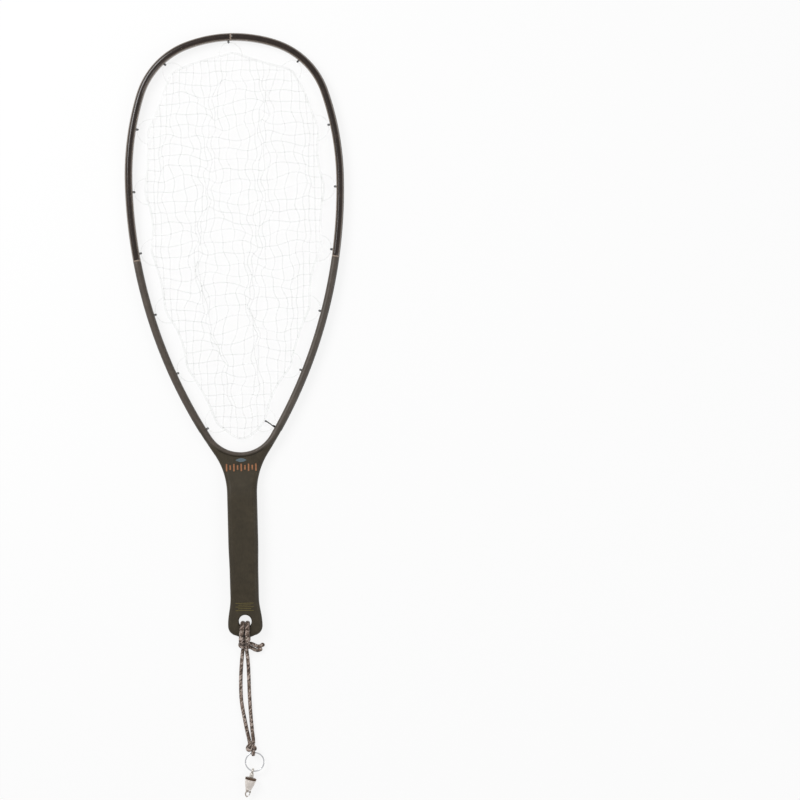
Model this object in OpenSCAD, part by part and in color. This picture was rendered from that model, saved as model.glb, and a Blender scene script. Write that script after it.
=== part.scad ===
// Landing net lying flat: a composite hoop and handle, a clear rubber bag laced inside the hoop,
// and a cord lanyard with a split ring and a swivel snap.
// X runs across the hoop, +Y towards the hoop's tip and +Z up from the surface it lies on.

/* [Hoop] */
// Width of the hoop tube, seen from above
hoop_w = 8; // [7:0.5:10]
// Depth of the hoop tube, from its back to its front
hoop_h = 12.6; // [11:0.2:15]
// Wall of the hoop tube
hoop_wall = 1.8; // [1.5:0.1:2.2]
// Centreline radius of the crown at the hoop's tip
crown_r = 146; // [120:1:175]
// Sweep of the crown to each side of the tip, in degrees
crown_sweep = 19.5; // [16:0.5:23]
// Centreline radius of the shoulders
shoulder_r = 84; // [70:1:100]
// Sweep of each shoulder, in degrees
shoulder_sweep = 52.7; // [46:0.1:58]
// Centreline radius of the upper flanks, down to the widest point
upper_flank_r = 306; // [260:2:360]
// Centreline radius of the lower flanks, below the widest point
lower_flank_r = 540; // [480:2:640]
// Inside radius of the hoop where it closes at the yoke
yoke_r = 38; // [32:1:44]
// Length of centreline from the tip to the joint of the upper and lower tubes
joint_at = 309; // [285:1:330]
// Length of the bond line between two tubes
bond_l = 1.6; // [1:0.1:3]
// How far a ferrule reaches into each tube
ferrule_reach = 20; // [12:1:30]
// Clearance between a ferrule and its tube
ferrule_gap = 0.1; // [0.05:0.05:0.3]

/* [Handle] */
// Length of the handle, from the inside of the yoke to the butt
handle_l = 202.5; // [165:0.5:245]
// Width of the grip
grip_w = 32.4; // [27:0.2:39]
// Width of the grip's waist
waist_w = 31; // [26:0.2:37]
// Width of the butt
butt_w = 37.6; // [33:0.2:45]
// Depth of the grip, from back to front
grip_h = 16; // [14:0.2:19]
// Radius of the hollow flank between hoop and grip
neck_r = 80; // [66:1:96]
// Width of the rounded bead round the inside of the yoke
bead_w = 5.5; // [4:0.5:7]
// Wall of the moulded handle shells
shell_wall = 2; // [1.6:0.1:2.5]
// Clearance between the foam core and the shells
core_gap = 0.2; // [0.1:0.1:0.4]
// Glue gap between the handle and the lower bow
glue_gap = 0.1; // [0.05:0.05:0.3]
// Depth of the butt, where the lanyard passes round it
butt_h = 8.4; // [7:0.2:10]
// Radius of the lanyard hole
hole_r = 7; // [6:0.2:8]
// Distance of the hole's centre from the butt
hole_inset = 18; // [16:0.5:22]

/* [Net and lacing] */
// Diameter of the lacing cord in the hoop's groove
lacing_d = 1.6; // [1.2:0.1:2]
// Radius of the lacing holes
lacing_hole_r = 1.2; // [1.1:0.1:1.5]
// Length of a stitch that shows inside the hoop
stitch_l = 4.5; // [3:0.5:6]
// Wall of the rubber bag
bag_wall = 1.6; // [1.2:0.1:2.4]
// Height of the bag's rim above the surface
bag_rim_h = 7.6; // [7.4:0.1:9]
// Clearance of soft pieces from what they lie against
soft_gap = 0.3; // [0.2:0.1:0.5]

/* [Lanyard and snap] */
// Diameter of the lanyard cord
cord_d = 4; // [3.2:0.2:4]
// Diameter of the tied knots
knot_d = 11.6; // [10.6:0.2:12]
// Outside radius of the split ring
ring_r = 11; // [9.5:0.5:12.5]
// Diameter of the split ring's wire
ring_wire = 1.8; // [1.4:0.1:2]
// Largest diameter of the snap's barrel
barrel_d = 12.2; // [10.4:0.2:12.2]
// Length of the snap's barrel
barrel_l = 11.5; // [10:0.5:14]
// Diameter of the swivel's post
post_d = 4.8; // [4:0.2:5.2]
// Radial clearance of the swivel's post
post_gap = 0.05; // [0.03:0.01:0.08]
// Diameter of the snap hook's wire
hook_wire = 1.5; // [1.2:0.1:1.6]

/* [Hidden] */

sweep_fn = 240;
round_fn = 48;
small_fn = 24;
curve_steps = 10;
cut = 1;
// Hairline left where two arcs of one tube or cord meet, so that each is a clean solid
arc_gap = 0.02;
deg_per_rad = 180 / PI;

// Centres of the arcs that make one side of the hoop, measured from the crown's centre
shoulder_end = crown_sweep + shoulder_sweep;
shoulder_from_crown = (crown_r - shoulder_r) * [sin(crown_sweep), cos(crown_sweep)];
upper_from_crown = shoulder_from_crown
    - (upper_flank_r - shoulder_r) * [sin(shoulder_end), cos(shoulder_end)];
lower_from_crown = upper_from_crown - [lower_flank_r - upper_flank_r, 0];
yoke_reach = lower_flank_r - hoop_w / 2 - yoke_r;
yoke_drop = sqrt(pow(yoke_reach, 2) - pow(lower_from_crown[0], 2));
yoke_angle = acos(-lower_from_crown[0] / yoke_reach);
hoop_l = crown_r + hoop_w / 2 - lower_from_crown[1] + yoke_drop + yoke_r;

// The origin is half way along the net, so the tip and the butt lie equally far from it
tip_y = (hoop_l + handle_l) / 2;
butt_y = -tip_y;
crown_c = [0, tip_y - hoop_w / 2 - crown_r];
shoulder_c = crown_c + shoulder_from_crown;
upper_c = crown_c + upper_from_crown;
lower_c = crown_c + lower_from_crown;
yoke_c = [0, lower_c[1] - yoke_drop];

// Lengths of centreline from the tip to the end of each arc
crown_l = crown_r * crown_sweep / deg_per_rad;
shoulder_l = crown_l + shoulder_r * shoulder_sweep / deg_per_rad;
upper_l = shoulder_l + upper_flank_r * (90 - shoulder_end) / deg_per_rad;
flank_l = upper_l + lower_flank_r * yoke_angle / deg_per_rad;
joint_angle = (joint_at - upper_l) / lower_flank_r * deg_per_rad;
bond_angle = bond_l / 2 / lower_flank_r * deg_per_rad;
ferrule_angle = ferrule_reach / lower_flank_r * deg_per_rad;
tip_bond_angle = bond_l / 2 / crown_r * deg_per_rad;
tip_ferrule_angle = ferrule_reach / crown_r * deg_per_rad;

// Lacing stations, by length of centreline from the tip
tip_stitch_at = -3;
crown_pitch = 82;
last_stitch_margin = 9.7;
side_pitch = (flank_l - last_stitch_margin - 2 * crown_pitch) / 5;
side_stations = [
    for (i = [1:2]) i * crown_pitch,
    for (i = [1:5]) 2 * crown_pitch + i * side_pitch
];
groove_r = lacing_d / 2 + 0.2;
stitch_head_d = 1.2 * lacing_d;
stitch_head_l = 1.5;
stitch_end_gap = 0.05;
tail_d = 1.4;
groove_at = hoop_w / 2 - 0.1;
mid_z = hoop_h / 2;

// Handle: places along the grip, measured from the butt
grip_half = grip_w / 2;
waist_half = waist_w / 2;
butt_half = butt_w / 2;
flare_from = 44;
flare_to = 14;
waist_from = 105;
waist_to = 68;
butt_corner_r = 9;
butt_crown = 0.8;
web_top = hoop_h - 1.2;
web_from = 190;
web_to = 150;
butt_from = 64;
butt_to = 26;
butt_lift = cord_d + 0.4;
nose_r = 3.5;
hole_chamfer = 1.2;
core_butt_margin = 7;
core_yoke_margin = 20;
yoke_y = yoke_c[1] - yoke_r;
neck_x = grip_half + neck_r;
neck_y = lower_c[1] - sqrt(pow(lower_flank_r + hoop_w / 2 + neck_r, 2) - pow(neck_x - lower_c[0], 2));
neck_angle = atan2(lower_c[1] - neck_y, neck_x - lower_c[0]);
neck_top_y = lower_c[1] - (lower_flank_r + hoop_w / 2) * sin(neck_angle);
bow_r = yoke_r + bead_w / 2;
seat_r = yoke_r + bead_w + glue_gap;
seat_angle = glue_gap / seat_r * deg_per_rad;
glue_angle = glue_gap / lower_flank_r * deg_per_rad;
hole_y = butt_y + hole_inset;
decal_t = 0.3;
oval_y = yoke_y - bead_w - 3;
yoke_mark_y = yoke_y - bead_w - 11;
butt_mark_y = hole_y + hole_r + 9;

// Bag, and the lacing's loose end over its rim, measured from where that end leaves the last stitch
tail_z = bag_rim_h + lacing_d / 2 + soft_gap;
tail_route = [
    [0, 0, mid_z + lacing_d + 0.1], [-1.6, 1.2, tail_z], [-5, 4, tail_z + 0.4], [-9, 6.6, tail_z + 0.4]
];
bag_inset = hoop_w / 2 + stitch_l + soft_gap;
bag_floor_z = soft_gap;

// Lanyard and snap, with every place measured from the centre of the lanyard hole
cord_r = cord_d / 2;
low_z = cord_r + 0.1;
cord_sides = 10;
loop_x = 2.2;
hardware_z = 6.2;
ring_mid_r = ring_r - ring_wire / 2;
clip_turn = -14.5;
ring_at = [6.4, -154];
ring_hold_x = 5;
ring_hold = [ring_hold_x, ring_at[1] + sqrt(pow(ring_mid_r, 2) - pow(ring_at[0] - ring_hold_x, 2))];
clip_at = ring_at + ring_mid_r * [sin(clip_turn), -cos(clip_turn)];
upper_knot_at = [-1.6, -26.2];
lower_knot_at = [3.6, -139.4];
eye_clear = 0.6;
eye_hole_r = ring_wire / 2 + eye_clear;
cord_eye_r = 3.8;
knot_face_gap = 0.8;

// Snap, along its own axis from the ring's wire
neck_l = 7.6;
collar_l = 2.4;
post_head_d = post_d + 1.8;
post_head_l = 1.6;
head_gap = 0.25;
barrel_end_d = 6.4;
hook_w = 5.6;
hook_l = 8.2;
eye_r = 3;
eye_t = 2.4;
eye_overlap = 0.6;
barrel_from = neck_l + collar_l;
barrel_to = barrel_from + barrel_l;
head_from = barrel_from + head_gap;
head_to = head_from + post_head_l;
head_room = 0.2;
hook_from = barrel_to;
hook_mid = hook_from + hook_l / 2;
hook_to = hook_from + hook_l;
hook_root_l = 2.6;
hook_root_d = barrel_end_d - 0.6;
hook_root_end_d = 4.4;
hook_start = [-1.2, -(hook_from + 2)];
hook_side = [-hook_w / 2 + hook_wire / 2, -hook_mid];
hook_tip = [0, -(hook_to - hook_wire / 2)];
hook_lip = [1.1, -(hook_to - hook_wire)];
gate_pivot = [hook_w / 2 - 0.4, -(hook_from + 1.6)];
gate_end = [hook_w / 2 - 0.7, -(hook_to - 2.9)];
gate_slot_d = 2.9;
gate_d = 2.2;
gate_h = 1.6;
gate_wire = 1.1;
gate_hole_d = 1.1;
pin_d = 1;
pin_h = 2.8;

// Routes of the lanyard, one point after another, from the centre of the lanyard hole
strand_left_route = [
    [-3.7, -31.8, 4.7], [-4.4, -36.6, 3], [-5.1, -42, low_z], [-5.7, -48, low_z], [-6.3, -55, low_z],
    [-6.8, -63, low_z], [-7, -71, low_z], [-7, -79, low_z], [-6.7, -87, low_z], [-5.9, -94, low_z],
    [-4.8, -101, low_z], [-3.6, -108, low_z], [-2.4, -115, low_z], [-1.1, -122, low_z], [0.3, -128, 2.9],
    [1.3, -133.6, 4.6]
];
strand_right_route = [
    [0.5, -31.8, 4.7], [0.9, -36.6, 3], [1.4, -42, low_z], [1.7, -48, low_z], [1.9, -55, low_z],
    [2, -63, low_z], [2.1, -71, low_z], [2.2, -79, low_z], [2.4, -87, low_z], [2.7, -94, low_z],
    [3, -101, low_z], [3.4, -108, low_z], [3.9, -115, low_z], [4.4, -122, low_z], [5.1, -128, 2.9],
    [5.5, -133.1, 4.5]
];
// Route round the butt in a plane across X: distance from the hole's centre, and height
loop_route = [
    [-23.4, 12.2], [-21.6, 13.9], [-19.2, 14.9], [-16, 15.3], [-12.4, 15.4], [-9.4, 15.3],
    [-6.8, 14.8], [-4.9, 13.4], [-4.3, 11.2], [-4.2, 8.6], [-4.3, 6], [-4.8, 3.9],
    [-6.6, 2.5], [-9.4, low_z], [-13, low_z], [-16.4, low_z], [-19, 2.3], [-21, 2.9]
];
tail_long_route = [
    [4.8, -25.2, 5.8], [8.4, -24.6, 4.6], [12.4, -25.6, 3], [16.4, -27.4, low_z], [20.4, -28.4, low_z]
];
tail_short_route = [
    [4.2, -29.6, 4.4], [7, -30.8, 2.9], [9.6, -32, low_z], [12, -33, low_z]
];

function polar(c, r, a) = c + r * [cos(a), sin(a)];
function arc_points(c, r, from, to, steps) = [
    for (i = [0:steps]) polar(c, r, from + (to - from) * i / steps)
];
function unit(v) = v / norm(v);
function hairline(r) = arc_gap / r * deg_per_rad;
function ease(a, b, t) = a + (b - a) * (1 - cos(180 * min(max(t, 0), 1))) / 2;
function flip_x(points) = [for (i = [len(points) - 1:-1:0]) [-points[i][0], points[i][1]]];
function at_butt(d) = butt_y + d;

// Centre, radius and angle of the arc that holds a station at length s from the tip
function station(s) =
    s < crown_l ? [crown_c, crown_r, 90 - s / crown_r * deg_per_rad]
    : s < shoulder_l ? [shoulder_c, shoulder_r, 90 - crown_sweep - (s - crown_l) / shoulder_r * deg_per_rad]
    : s < upper_l ? [upper_c, upper_flank_r, (upper_l - s) / upper_flank_r * deg_per_rad]
    : [lower_c, lower_flank_r, (upper_l - s) / lower_flank_r * deg_per_rad];

// Half width of the handle at height y, taken in by t from its surface
function neck_half(y, t) = neck_x - sqrt(pow(neck_r + t, 2) - pow(y - neck_y, 2));
function grip_half_at(y) =
    y > at_butt(waist_to) ? ease(waist_half, grip_half, (y - at_butt(waist_to)) / (waist_from - waist_to))
    : ease(butt_half, waist_half, (y - at_butt(flare_to)) / (flare_from - flare_to));
function handle_half(y, t) = y > neck_y ? neck_half(y, t) : grip_half_at(y) - t;

// Height of the handle's front and back faces at y
function front_z(y) =
    y > at_butt(web_to) ? ease(grip_h, web_top, (y - at_butt(web_to)) / (web_from - web_to))
    : ease(butt_lift + butt_h, grip_h, (y - at_butt(butt_to)) / (butt_from - butt_to));
function back_z(y) = ease(butt_lift, 0, (y - at_butt(butt_to)) / (butt_from - butt_to));

function span(from, to, steps) = [for (i = [0:steps]) from + (to - from) * i / steps];
side_rows = concat(
    span(neck_top_y, neck_y, 2 * curve_steps),
    span(neck_y - 4, at_butt(waist_from), 3),
    span(at_butt(waist_from - 4), at_butt(waist_to), curve_steps),
    span(at_butt(flare_from), at_butt(flare_to), curve_steps)
);

function corner_points() = arc_points(
    [butt_half - butt_corner_r, butt_y + butt_corner_r + butt_crown], butt_corner_r, 0, -80, curve_steps);
function handle_side() = concat(
    arc_points(lower_c, lower_flank_r + hoop_w / 2, -yoke_angle - glue_angle, -neck_angle, 3),
    [for (i = [1:len(side_rows) - 1]) [handle_half(side_rows[i], 0), side_rows[i]]],
    corner_points()
);
function handle_plan() = concat(
    handle_side(),
    [[0, butt_y]],
    flip_x(handle_side()),
    arc_points(yoke_c, seat_r, 180 + yoke_angle + seat_angle, 360 - yoke_angle - seat_angle, 4 * curve_steps)
);
function profile_rows(from, to) = span(from, to, 5 * curve_steps);
function profile(from, to, t) = concat(
    [for (y = profile_rows(from, to)) [y, front_z(y) - t]],
    [for (y = profile_rows(to, from)) [y, back_z(y) + t]]
);

// One ring of a cord's tube, square to the way it runs
function ring_points(p, along, across, r, sides) =
    let (u = unit(cross(along, across)), v = cross(unit(along), u))
    [for (i = [0:sides - 1]) p + r * (cos(360 * i / sides) * u + sin(360 * i / sides) * v)];
function heading(route, i) =
    let (last = len(route) - 1)
    unit(route[min(i + 1, last)] - route[max(i - 1, 0)]);

module cord_tube(route, d, across) {
    last = len(route) - 1;
    rings = [for (i = [0:last]) ring_points(route[i], heading(route, i), across, d / 2, cord_sides)];
    polyhedron(
        points = [for (ring = rings) for (p = ring) p],
        faces = concat(
            [[for (i = [0:cord_sides - 1]) i]],
            [[for (i = [cord_sides - 1:-1:0]) last * cord_sides + i]],
            [for (k = [0:last - 1]) for (i = [0:cord_sides - 1]) let (j = (i + 1) % cord_sides)
                [k * cord_sides + j, k * cord_sides + i, (k + 1) * cord_sides + i, (k + 1) * cord_sides + j]]
        )
    );
}

// A section swept along an arc: the section's X is measured from the centreline outwards
module sweep(c, r, from, to) {
    translate([c[0], c[1], mid_z])
        rotate([0, 0, from])
            rotate_extrude(angle = to - from, $fn = sweep_fn)
                translate([r, 0])
                    children();
}

module stadium(w, h) {
    for (side = [-1, 1])
        translate([0, side * (h - w) / 2])
            circle(d = w, $fn = round_fn);
    square([w, h - w], center = true);
}

module groove() {
    translate([groove_at, 0])
        circle(r = groove_r, $fn = small_fn);
}

module tube_section() {
    difference() {
        stadium(hoop_w, hoop_h);
        stadium(hoop_w - 2 * hoop_wall, hoop_h - 2 * hoop_wall);
        groove();
    }
}

module ferrule_section() {
    difference() {
        stadium(hoop_w - 2 * hoop_wall - 2 * ferrule_gap, hoop_h - 2 * hoop_wall - 2 * ferrule_gap);
        stadium(hoop_w / 5, hoop_h / 2);
    }
}

module bond_section() {
    difference() {
        stadium(hoop_w - 0.4, hoop_h - 0.4);
        stadium(hoop_w - 2 * hoop_wall, hoop_h - 2 * hoop_wall);
        groove();
    }
}

// Holes through the tube at the stations that lie between two lengths from the tip
module lacing_holes(stations, from, to) {
    for (s = [for (s = stations) if (s > from && s <= to) s]) {
        place = station(s);
        translate([place[0][0], place[0][1], mid_z])
            rotate([0, 0, place[2]])
                translate([place[1] - hoop_w, 0, 0])
                    rotate([0, 90, 0])
                        cylinder(r = lacing_hole_r, h = 2 * hoop_w, $fn = small_fn);
    }
}

// One arc of tube, drilled for its own stitches
module tube_arc(c, r, from, to, stations, from_s, to_s) {
    difference() {
        sweep(c, r, from + hairline(r), to) tube_section();
        lacing_holes(stations, from_s, to_s);
    }
}

// The right half of the upper hoop, from the tip's bond line to the joint with the lower bow
module upper_tube(stations) {
    tube_arc(crown_c, crown_r, 90 - crown_sweep, 90 - tip_bond_angle, stations, 0, crown_l);
    tube_arc(shoulder_c, shoulder_r, 90 - shoulder_end, 90 - crown_sweep, stations, crown_l, shoulder_l);
    tube_arc(upper_c, upper_flank_r, 0, 90 - shoulder_end, stations, shoulder_l, upper_l);
    tube_arc(lower_c, lower_flank_r, bond_angle - joint_angle, 0, stations, upper_l, joint_at);
}

module hoop_tube_right() {
    color([0.2, 0.16, 0.14]) upper_tube(side_stations);
}

module hoop_tube_left() {
    color([0.2, 0.16, 0.14]) mirror([1, 0, 0]) upper_tube(concat([-tip_stitch_at], side_stations));
}

module bow_arm() {
    tube_arc(lower_c, lower_flank_r, -yoke_angle, -joint_angle - bond_angle, side_stations, joint_at, flank_l);
}

// The two arms and the solid bead that joins them round the inside of the yoke
module lower_bow() {
    color([0.3, 0.27, 0.22]) {
        bow_arm();
        sweep(yoke_c, bow_r, yoke_angle - 180 + hairline(bow_r), -yoke_angle - hairline(bow_r))
            stadium(bead_w, hoop_h);
        mirror([1, 0, 0]) bow_arm();
    }
}

module ferrule_side() {
    difference() {
        sweep(lower_c, lower_flank_r, -joint_angle - ferrule_angle, -joint_angle + ferrule_angle)
            ferrule_section();
        lacing_holes(side_stations, joint_at - ferrule_reach, joint_at + ferrule_reach);
    }
}

module ferrule_right() {
    color([0.35, 0.35, 0.36]) ferrule_side();
}

module ferrule_left() {
    color([0.35, 0.35, 0.36]) mirror([1, 0, 0]) ferrule_side();
}

module ferrule_tip() {
    color([0.35, 0.35, 0.36])
        difference() {
            sweep(crown_c, crown_r, 90 - tip_ferrule_angle, 90 + tip_ferrule_angle) ferrule_section();
            lacing_holes([tip_stitch_at], -ferrule_reach, 0);
        }
}

module bond_side() {
    sweep(lower_c, lower_flank_r, -joint_angle - bond_angle, -joint_angle + bond_angle) bond_section();
}

module bond_line_right() {
    color([0.78, 0.63, 0.47]) bond_side();
}

module bond_line_left() {
    color([0.78, 0.63, 0.47]) mirror([1, 0, 0]) bond_side();
}

module bond_line_tip() {
    color([0.55, 0.44, 0.34])
        sweep(crown_c, crown_r, 90 - tip_bond_angle, 90 + tip_bond_angle) bond_section();
}

// The handle's outline, cut to its side profile
module handle_body() {
    intersection() {
        linear_extrude(grip_h + cut) polygon(handle_plan());
        rotate([90, 0, 90])
            linear_extrude(8 * butt_w, center = true)
                difference() {
                    polygon(profile(butt_y - cut, yoke_c[1] + cut, 0));
                    for (side = [-1, 1])
                        translate([butt_y + nose_r, butt_lift + butt_h / 2 + side * (butt_h / 2 - nose_r)])
                            difference() {
                                translate([-2 * nose_r, side > 0 ? 0 : -2 * nose_r])
                                    square([2 * nose_r, 2 * nose_r]);
                                circle(r = nose_r, $fn = round_fn);
                            }
                }
    }
}

module core_body(t) {
    from = hole_y + hole_r + core_butt_margin + t;
    to = yoke_y - bead_w - core_yoke_margin - t;
    rows = span(from, to, 4 * curve_steps);
    intersection() {
        linear_extrude(grip_h)
            polygon(concat(
                [for (y = rows) [handle_half(y, t), y]],
                flip_x([for (y = rows) [handle_half(y, t), y]])
            ));
        rotate([90, 0, 90])
            linear_extrude(4 * butt_w, center = true)
                polygon(profile(from, to, t));
    }
}

module lanyard_hole() {
    translate([0, hole_y, -cut])
        cylinder(r = hole_r, h = grip_h + 2 * cut, $fn = 2 * round_fn);
    translate([0, hole_y, butt_lift + butt_h - hole_chamfer])
        cylinder(r1 = hole_r, r2 = hole_r + 2 * hole_chamfer, h = 2 * hole_chamfer, $fn = 2 * round_fn);
    translate([0, hole_y, butt_lift - hole_chamfer])
        cylinder(r1 = hole_r + 2 * hole_chamfer, r2 = hole_r, h = 2 * hole_chamfer, $fn = 2 * round_fn);
}

module handle_shell(low_z, high_z) {
    intersection() {
        difference() {
            handle_body();
            core_body(shell_wall);
            lanyard_hole();
        }
        translate([-4 * butt_w, butt_y - cut, low_z])
            cube([8 * butt_w, 2 * handle_l, high_z - low_z]);
    }
}

module handle_front_shell() {
    color([0.29, 0.26, 0.21]) handle_shell(mid_z, grip_h + cut);
}

module handle_back_shell() {
    color([0.27, 0.24, 0.2]) handle_shell(-cut, mid_z);
}

module foam_core() {
    color([0.85, 0.8, 0.65]) core_body(shell_wall + core_gap);
}

// A printed layer on the handle's front, with the outline of its children
module printed() {
    intersection() {
        difference() {
            translate([0, 0, decal_t]) handle_body();
            handle_body();
        }
        linear_extrude(grip_h + cut) children();
    }
}

// A generic row of upright bars
module yoke_decal() {
    color([0.85, 0.45, 0.2])
        printed()
            for (i = [-4:4])
                translate([4 * i, yoke_mark_y])
                    square([1.6, abs(i) % 2 == 0 ? 8 : 5], center = true);
}

module oval_decal() {
    color([0.35, 0.45, 0.52])
        printed()
            translate([0, oval_y])
                intersection_for(side = [-1, 1])
                    translate([0, side * 8])
                        circle(r = 10, $fn = 2 * round_fn);
}

module butt_decal() {
    color([0.6, 0.5, 0.2])
        printed()
            for (i = [-2:2])
                translate([0, butt_mark_y + 2 * i])
                    square([i % 2 == 0 ? 20 : 14, 0.6], center = true);
}

module side_cord() {
    sweep(crown_c, crown_r, 90 - crown_sweep + hairline(crown_r), 90 - hairline(crown_r)) children();
    sweep(shoulder_c, shoulder_r, 90 - shoulder_end + hairline(shoulder_r), 90 - crown_sweep) children();
    sweep(upper_c, upper_flank_r, hairline(upper_flank_r), 90 - shoulder_end) children();
    sweep(lower_c, lower_flank_r, station(side_stations[6])[2], 0) children();
}

module cord_section() {
    translate([groove_at, 0]) circle(d = lacing_d, $fn = small_fn);
}

module lacing_cord() {
    color([0.1, 0.1, 0.1]) {
        side_cord() cord_section();
        mirror([1, 0, 0]) side_cord() cord_section();
    }
}

module stitch(s) {
    place = station(s);
    inner = hoop_w / 2 + stitch_l;
    outer = groove_at - lacing_d / 2 - stitch_end_gap;
    translate([place[0][0], place[0][1], mid_z])
        rotate([0, 0, place[2]])
            translate([place[1], 0, 0]) {
                translate([-inner + stitch_head_l, 0, 0])
                    rotate([0, 90, 0])
                        cylinder(d = lacing_d, h = inner - stitch_head_l + outer, $fn = small_fn);
                translate([-inner, 0, 0])
                    rotate([0, 90, 0])
                        cylinder(d = stitch_head_d, h = stitch_head_l, $fn = small_fn);
            }
}

module lacing_stitches() {
    color([0.12, 0.12, 0.12]) {
        stitch(tip_stitch_at);
        for (s = side_stations) {
            stitch(s);
            mirror([1, 0, 0]) stitch(s);
        }
    }
}

// The loose end of the lacing, which leaves the last stitch on the right over the bag's rim
module lacing_tail() {
    last = station(side_stations[6]);
    start = polar(last[0], last[1] - hoop_w / 2 - 2 * soft_gap, last[2]);
    color([0.1, 0.1, 0.1])
        cord_tube([for (p = tail_route) [start[0] + p[0], start[1] + p[1], p[2]]], tail_d, [0, 0, 1]);
}

// Outline of the bag, taken in by t from the tubes' centreline
function bag_side(t) = concat(
    arc_points(crown_c, crown_r - t, 90, 90 - crown_sweep, curve_steps),
    arc_points(shoulder_c, shoulder_r - t, 90 - crown_sweep, 90 - shoulder_end, 2 * curve_steps),
    arc_points(upper_c, upper_flank_r - t, 90 - shoulder_end, 0, curve_steps),
    arc_points(lower_c, lower_flank_r - t, 0, -yoke_angle, 2 * curve_steps),
    arc_points(yoke_c, yoke_r + hoop_w / 2 - t, -yoke_angle, -90, curve_steps)
);
function bag_outline(t) = concat(bag_side(t), flip_x(bag_side(t)));

module net_bag() {
    color([0.85, 0.9, 0.9, 0.5]) {
        translate([0, 0, bag_floor_z])
            linear_extrude(bag_wall) polygon(bag_outline(bag_inset + bag_wall / 2));
        translate([0, 0, bag_floor_z])
            linear_extrude(bag_rim_h - bag_floor_z)
                difference() {
                    polygon(bag_outline(bag_inset));
                    polygon(bag_outline(bag_inset + bag_wall));
                }
    }
}

// Places what is measured from the centre of the lanyard hole
module from_hole() {
    translate([0, hole_y, 0]) children();
}

module lanyard_loop(x) {
    from_hole() cord_tube([for (p = loop_route) [x, p[0], p[1]]], cord_d, [1, 0, 0]);
}

module lanyard_loop_left() {
    color([0.45, 0.38, 0.3]) lanyard_loop(-loop_x);
}

module lanyard_loop_right() {
    color([0.5, 0.42, 0.34]) lanyard_loop(loop_x);
}

module lanyard_knot_upper() {
    color([0.42, 0.35, 0.28])
        from_hole()
            translate([upper_knot_at[0], upper_knot_at[1], hardware_z])
                sphere(d = knot_d, $fn = round_fn);
}

module lanyard_tails() {
    color([0.4, 0.33, 0.27]) from_hole() {
        cord_tube(tail_long_route, cord_d, [0, 0, 1]);
        cord_tube(tail_short_route, cord_d, [0, 0, 1]);
    }
}

module lanyard_strand_left() {
    color([0.5, 0.43, 0.36]) from_hole() cord_tube(strand_left_route, cord_d, [0, 0, 1]);
}

module lanyard_strand_right() {
    color([0.47, 0.4, 0.33]) from_hole() cord_tube(strand_right_route, cord_d, [0, 0, 1]);
}

// The lower knot, with the bight below it that holds the split ring
module lanyard_knot_lower() {
    face_y = ring_hold[1] + ring_wire / 2 + knot_face_gap;
    color([0.42, 0.35, 0.28])
        from_hole() difference() {
            union() {
                intersection() {
                    translate([lower_knot_at[0], lower_knot_at[1], hardware_z])
                        sphere(d = knot_d, $fn = round_fn);
                    translate([lower_knot_at[0] - knot_d, face_y, 0])
                        cube([2 * knot_d, knot_d, 2 * knot_d]);
                }
                translate([ring_hold[0] - cord_r, ring_hold[1], hardware_z])
                    rotate([0, 90, 0])
                        cylinder(r = cord_eye_r, h = cord_d, $fn = round_fn);
            }
            translate([ring_hold[0] - knot_d, ring_hold[1], hardware_z])
                rotate([0, 90, 0])
                    cylinder(r = eye_hole_r, h = 2 * knot_d, $fn = round_fn);
        }
}

module split_ring() {
    color([0.75, 0.76, 0.78])
        from_hole() translate([ring_at[0], ring_at[1], hardware_z])
            rotate_extrude($fn = 2 * round_fn)
                translate([ring_mid_r, 0])
                    circle(d = ring_wire, $fn = small_fn);
}

// The snap's own frame: its axis runs along -Y from the ring's wire
module on_snap() {
    from_hole()
        translate([clip_at[0], clip_at[1], hardware_z])
            rotate([0, 0, clip_turn])
                children();
}

// A round bar along the snap's axis, from one distance to another
module bar(from, to, d_from, d_to) {
    translate([0, -from, 0])
        rotate([90, 0, 0])
            cylinder(d1 = d_from, d2 = d_to, h = to - from, $fn = round_fn);
}

module swivel_eye() {
    color([0.7, 0.69, 0.67])
        on_snap()
            difference() {
                union() {
                    translate([-eye_t / 2, 0, 0])
                        rotate([0, 90, 0])
                            cylinder(r = eye_r, h = eye_t, $fn = round_fn);
                    bar(eye_r - eye_overlap, head_from, post_d, post_d);
                    bar(head_from, head_to, post_head_d, post_head_d);
                }
                translate([-eye_t, 0, 0])
                    rotate([0, 90, 0])
                        cylinder(r = eye_hole_r, h = 2 * eye_t, $fn = round_fn);
            }
}

module swivel_collar() {
    color([0.25, 0.2, 0.16])
        on_snap()
            difference() {
                bar(neck_l, barrel_from, barrel_d - 1, barrel_d);
                bar(neck_l - cut, barrel_from + cut, post_d + 2 * post_gap, post_d + 2 * post_gap);
            }
}

module snap_barrel() {
    color([0.78, 0.75, 0.72])
        on_snap()
            difference() {
                bar(barrel_from, barrel_to, barrel_d, barrel_end_d);
                bar(barrel_from - cut, head_to + head_gap, post_head_d + 2 * head_room, post_head_d + 2 * head_room);
            }
}

module rod(a, b, d) {
    run = b - a;
    translate([a[0], a[1], 0])
        rotate([0, 0, atan2(run[1], run[0])])
            rotate([0, 90, 0])
                cylinder(d = d, h = norm(run), $fn = small_fn);
    for (p = [a, b])
        translate([p[0], p[1], 0])
            sphere(d = d, $fn = small_fn);
}

module snap_hook() {
    color([0.66, 0.62, 0.58])
        on_snap() {
            difference() {
                bar(hook_from, hook_from + hook_root_l, hook_root_d, hook_root_end_d);
                translate([gate_pivot[0], gate_pivot[1], 0])
                    cylinder(d = gate_slot_d, h = 2 * barrel_d, center = true, $fn = small_fn);
            }
            rod(hook_start, hook_side, hook_wire);
            rod(hook_side, hook_tip, hook_wire);
            rod(hook_tip, hook_lip, hook_wire);
        }
}

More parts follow.
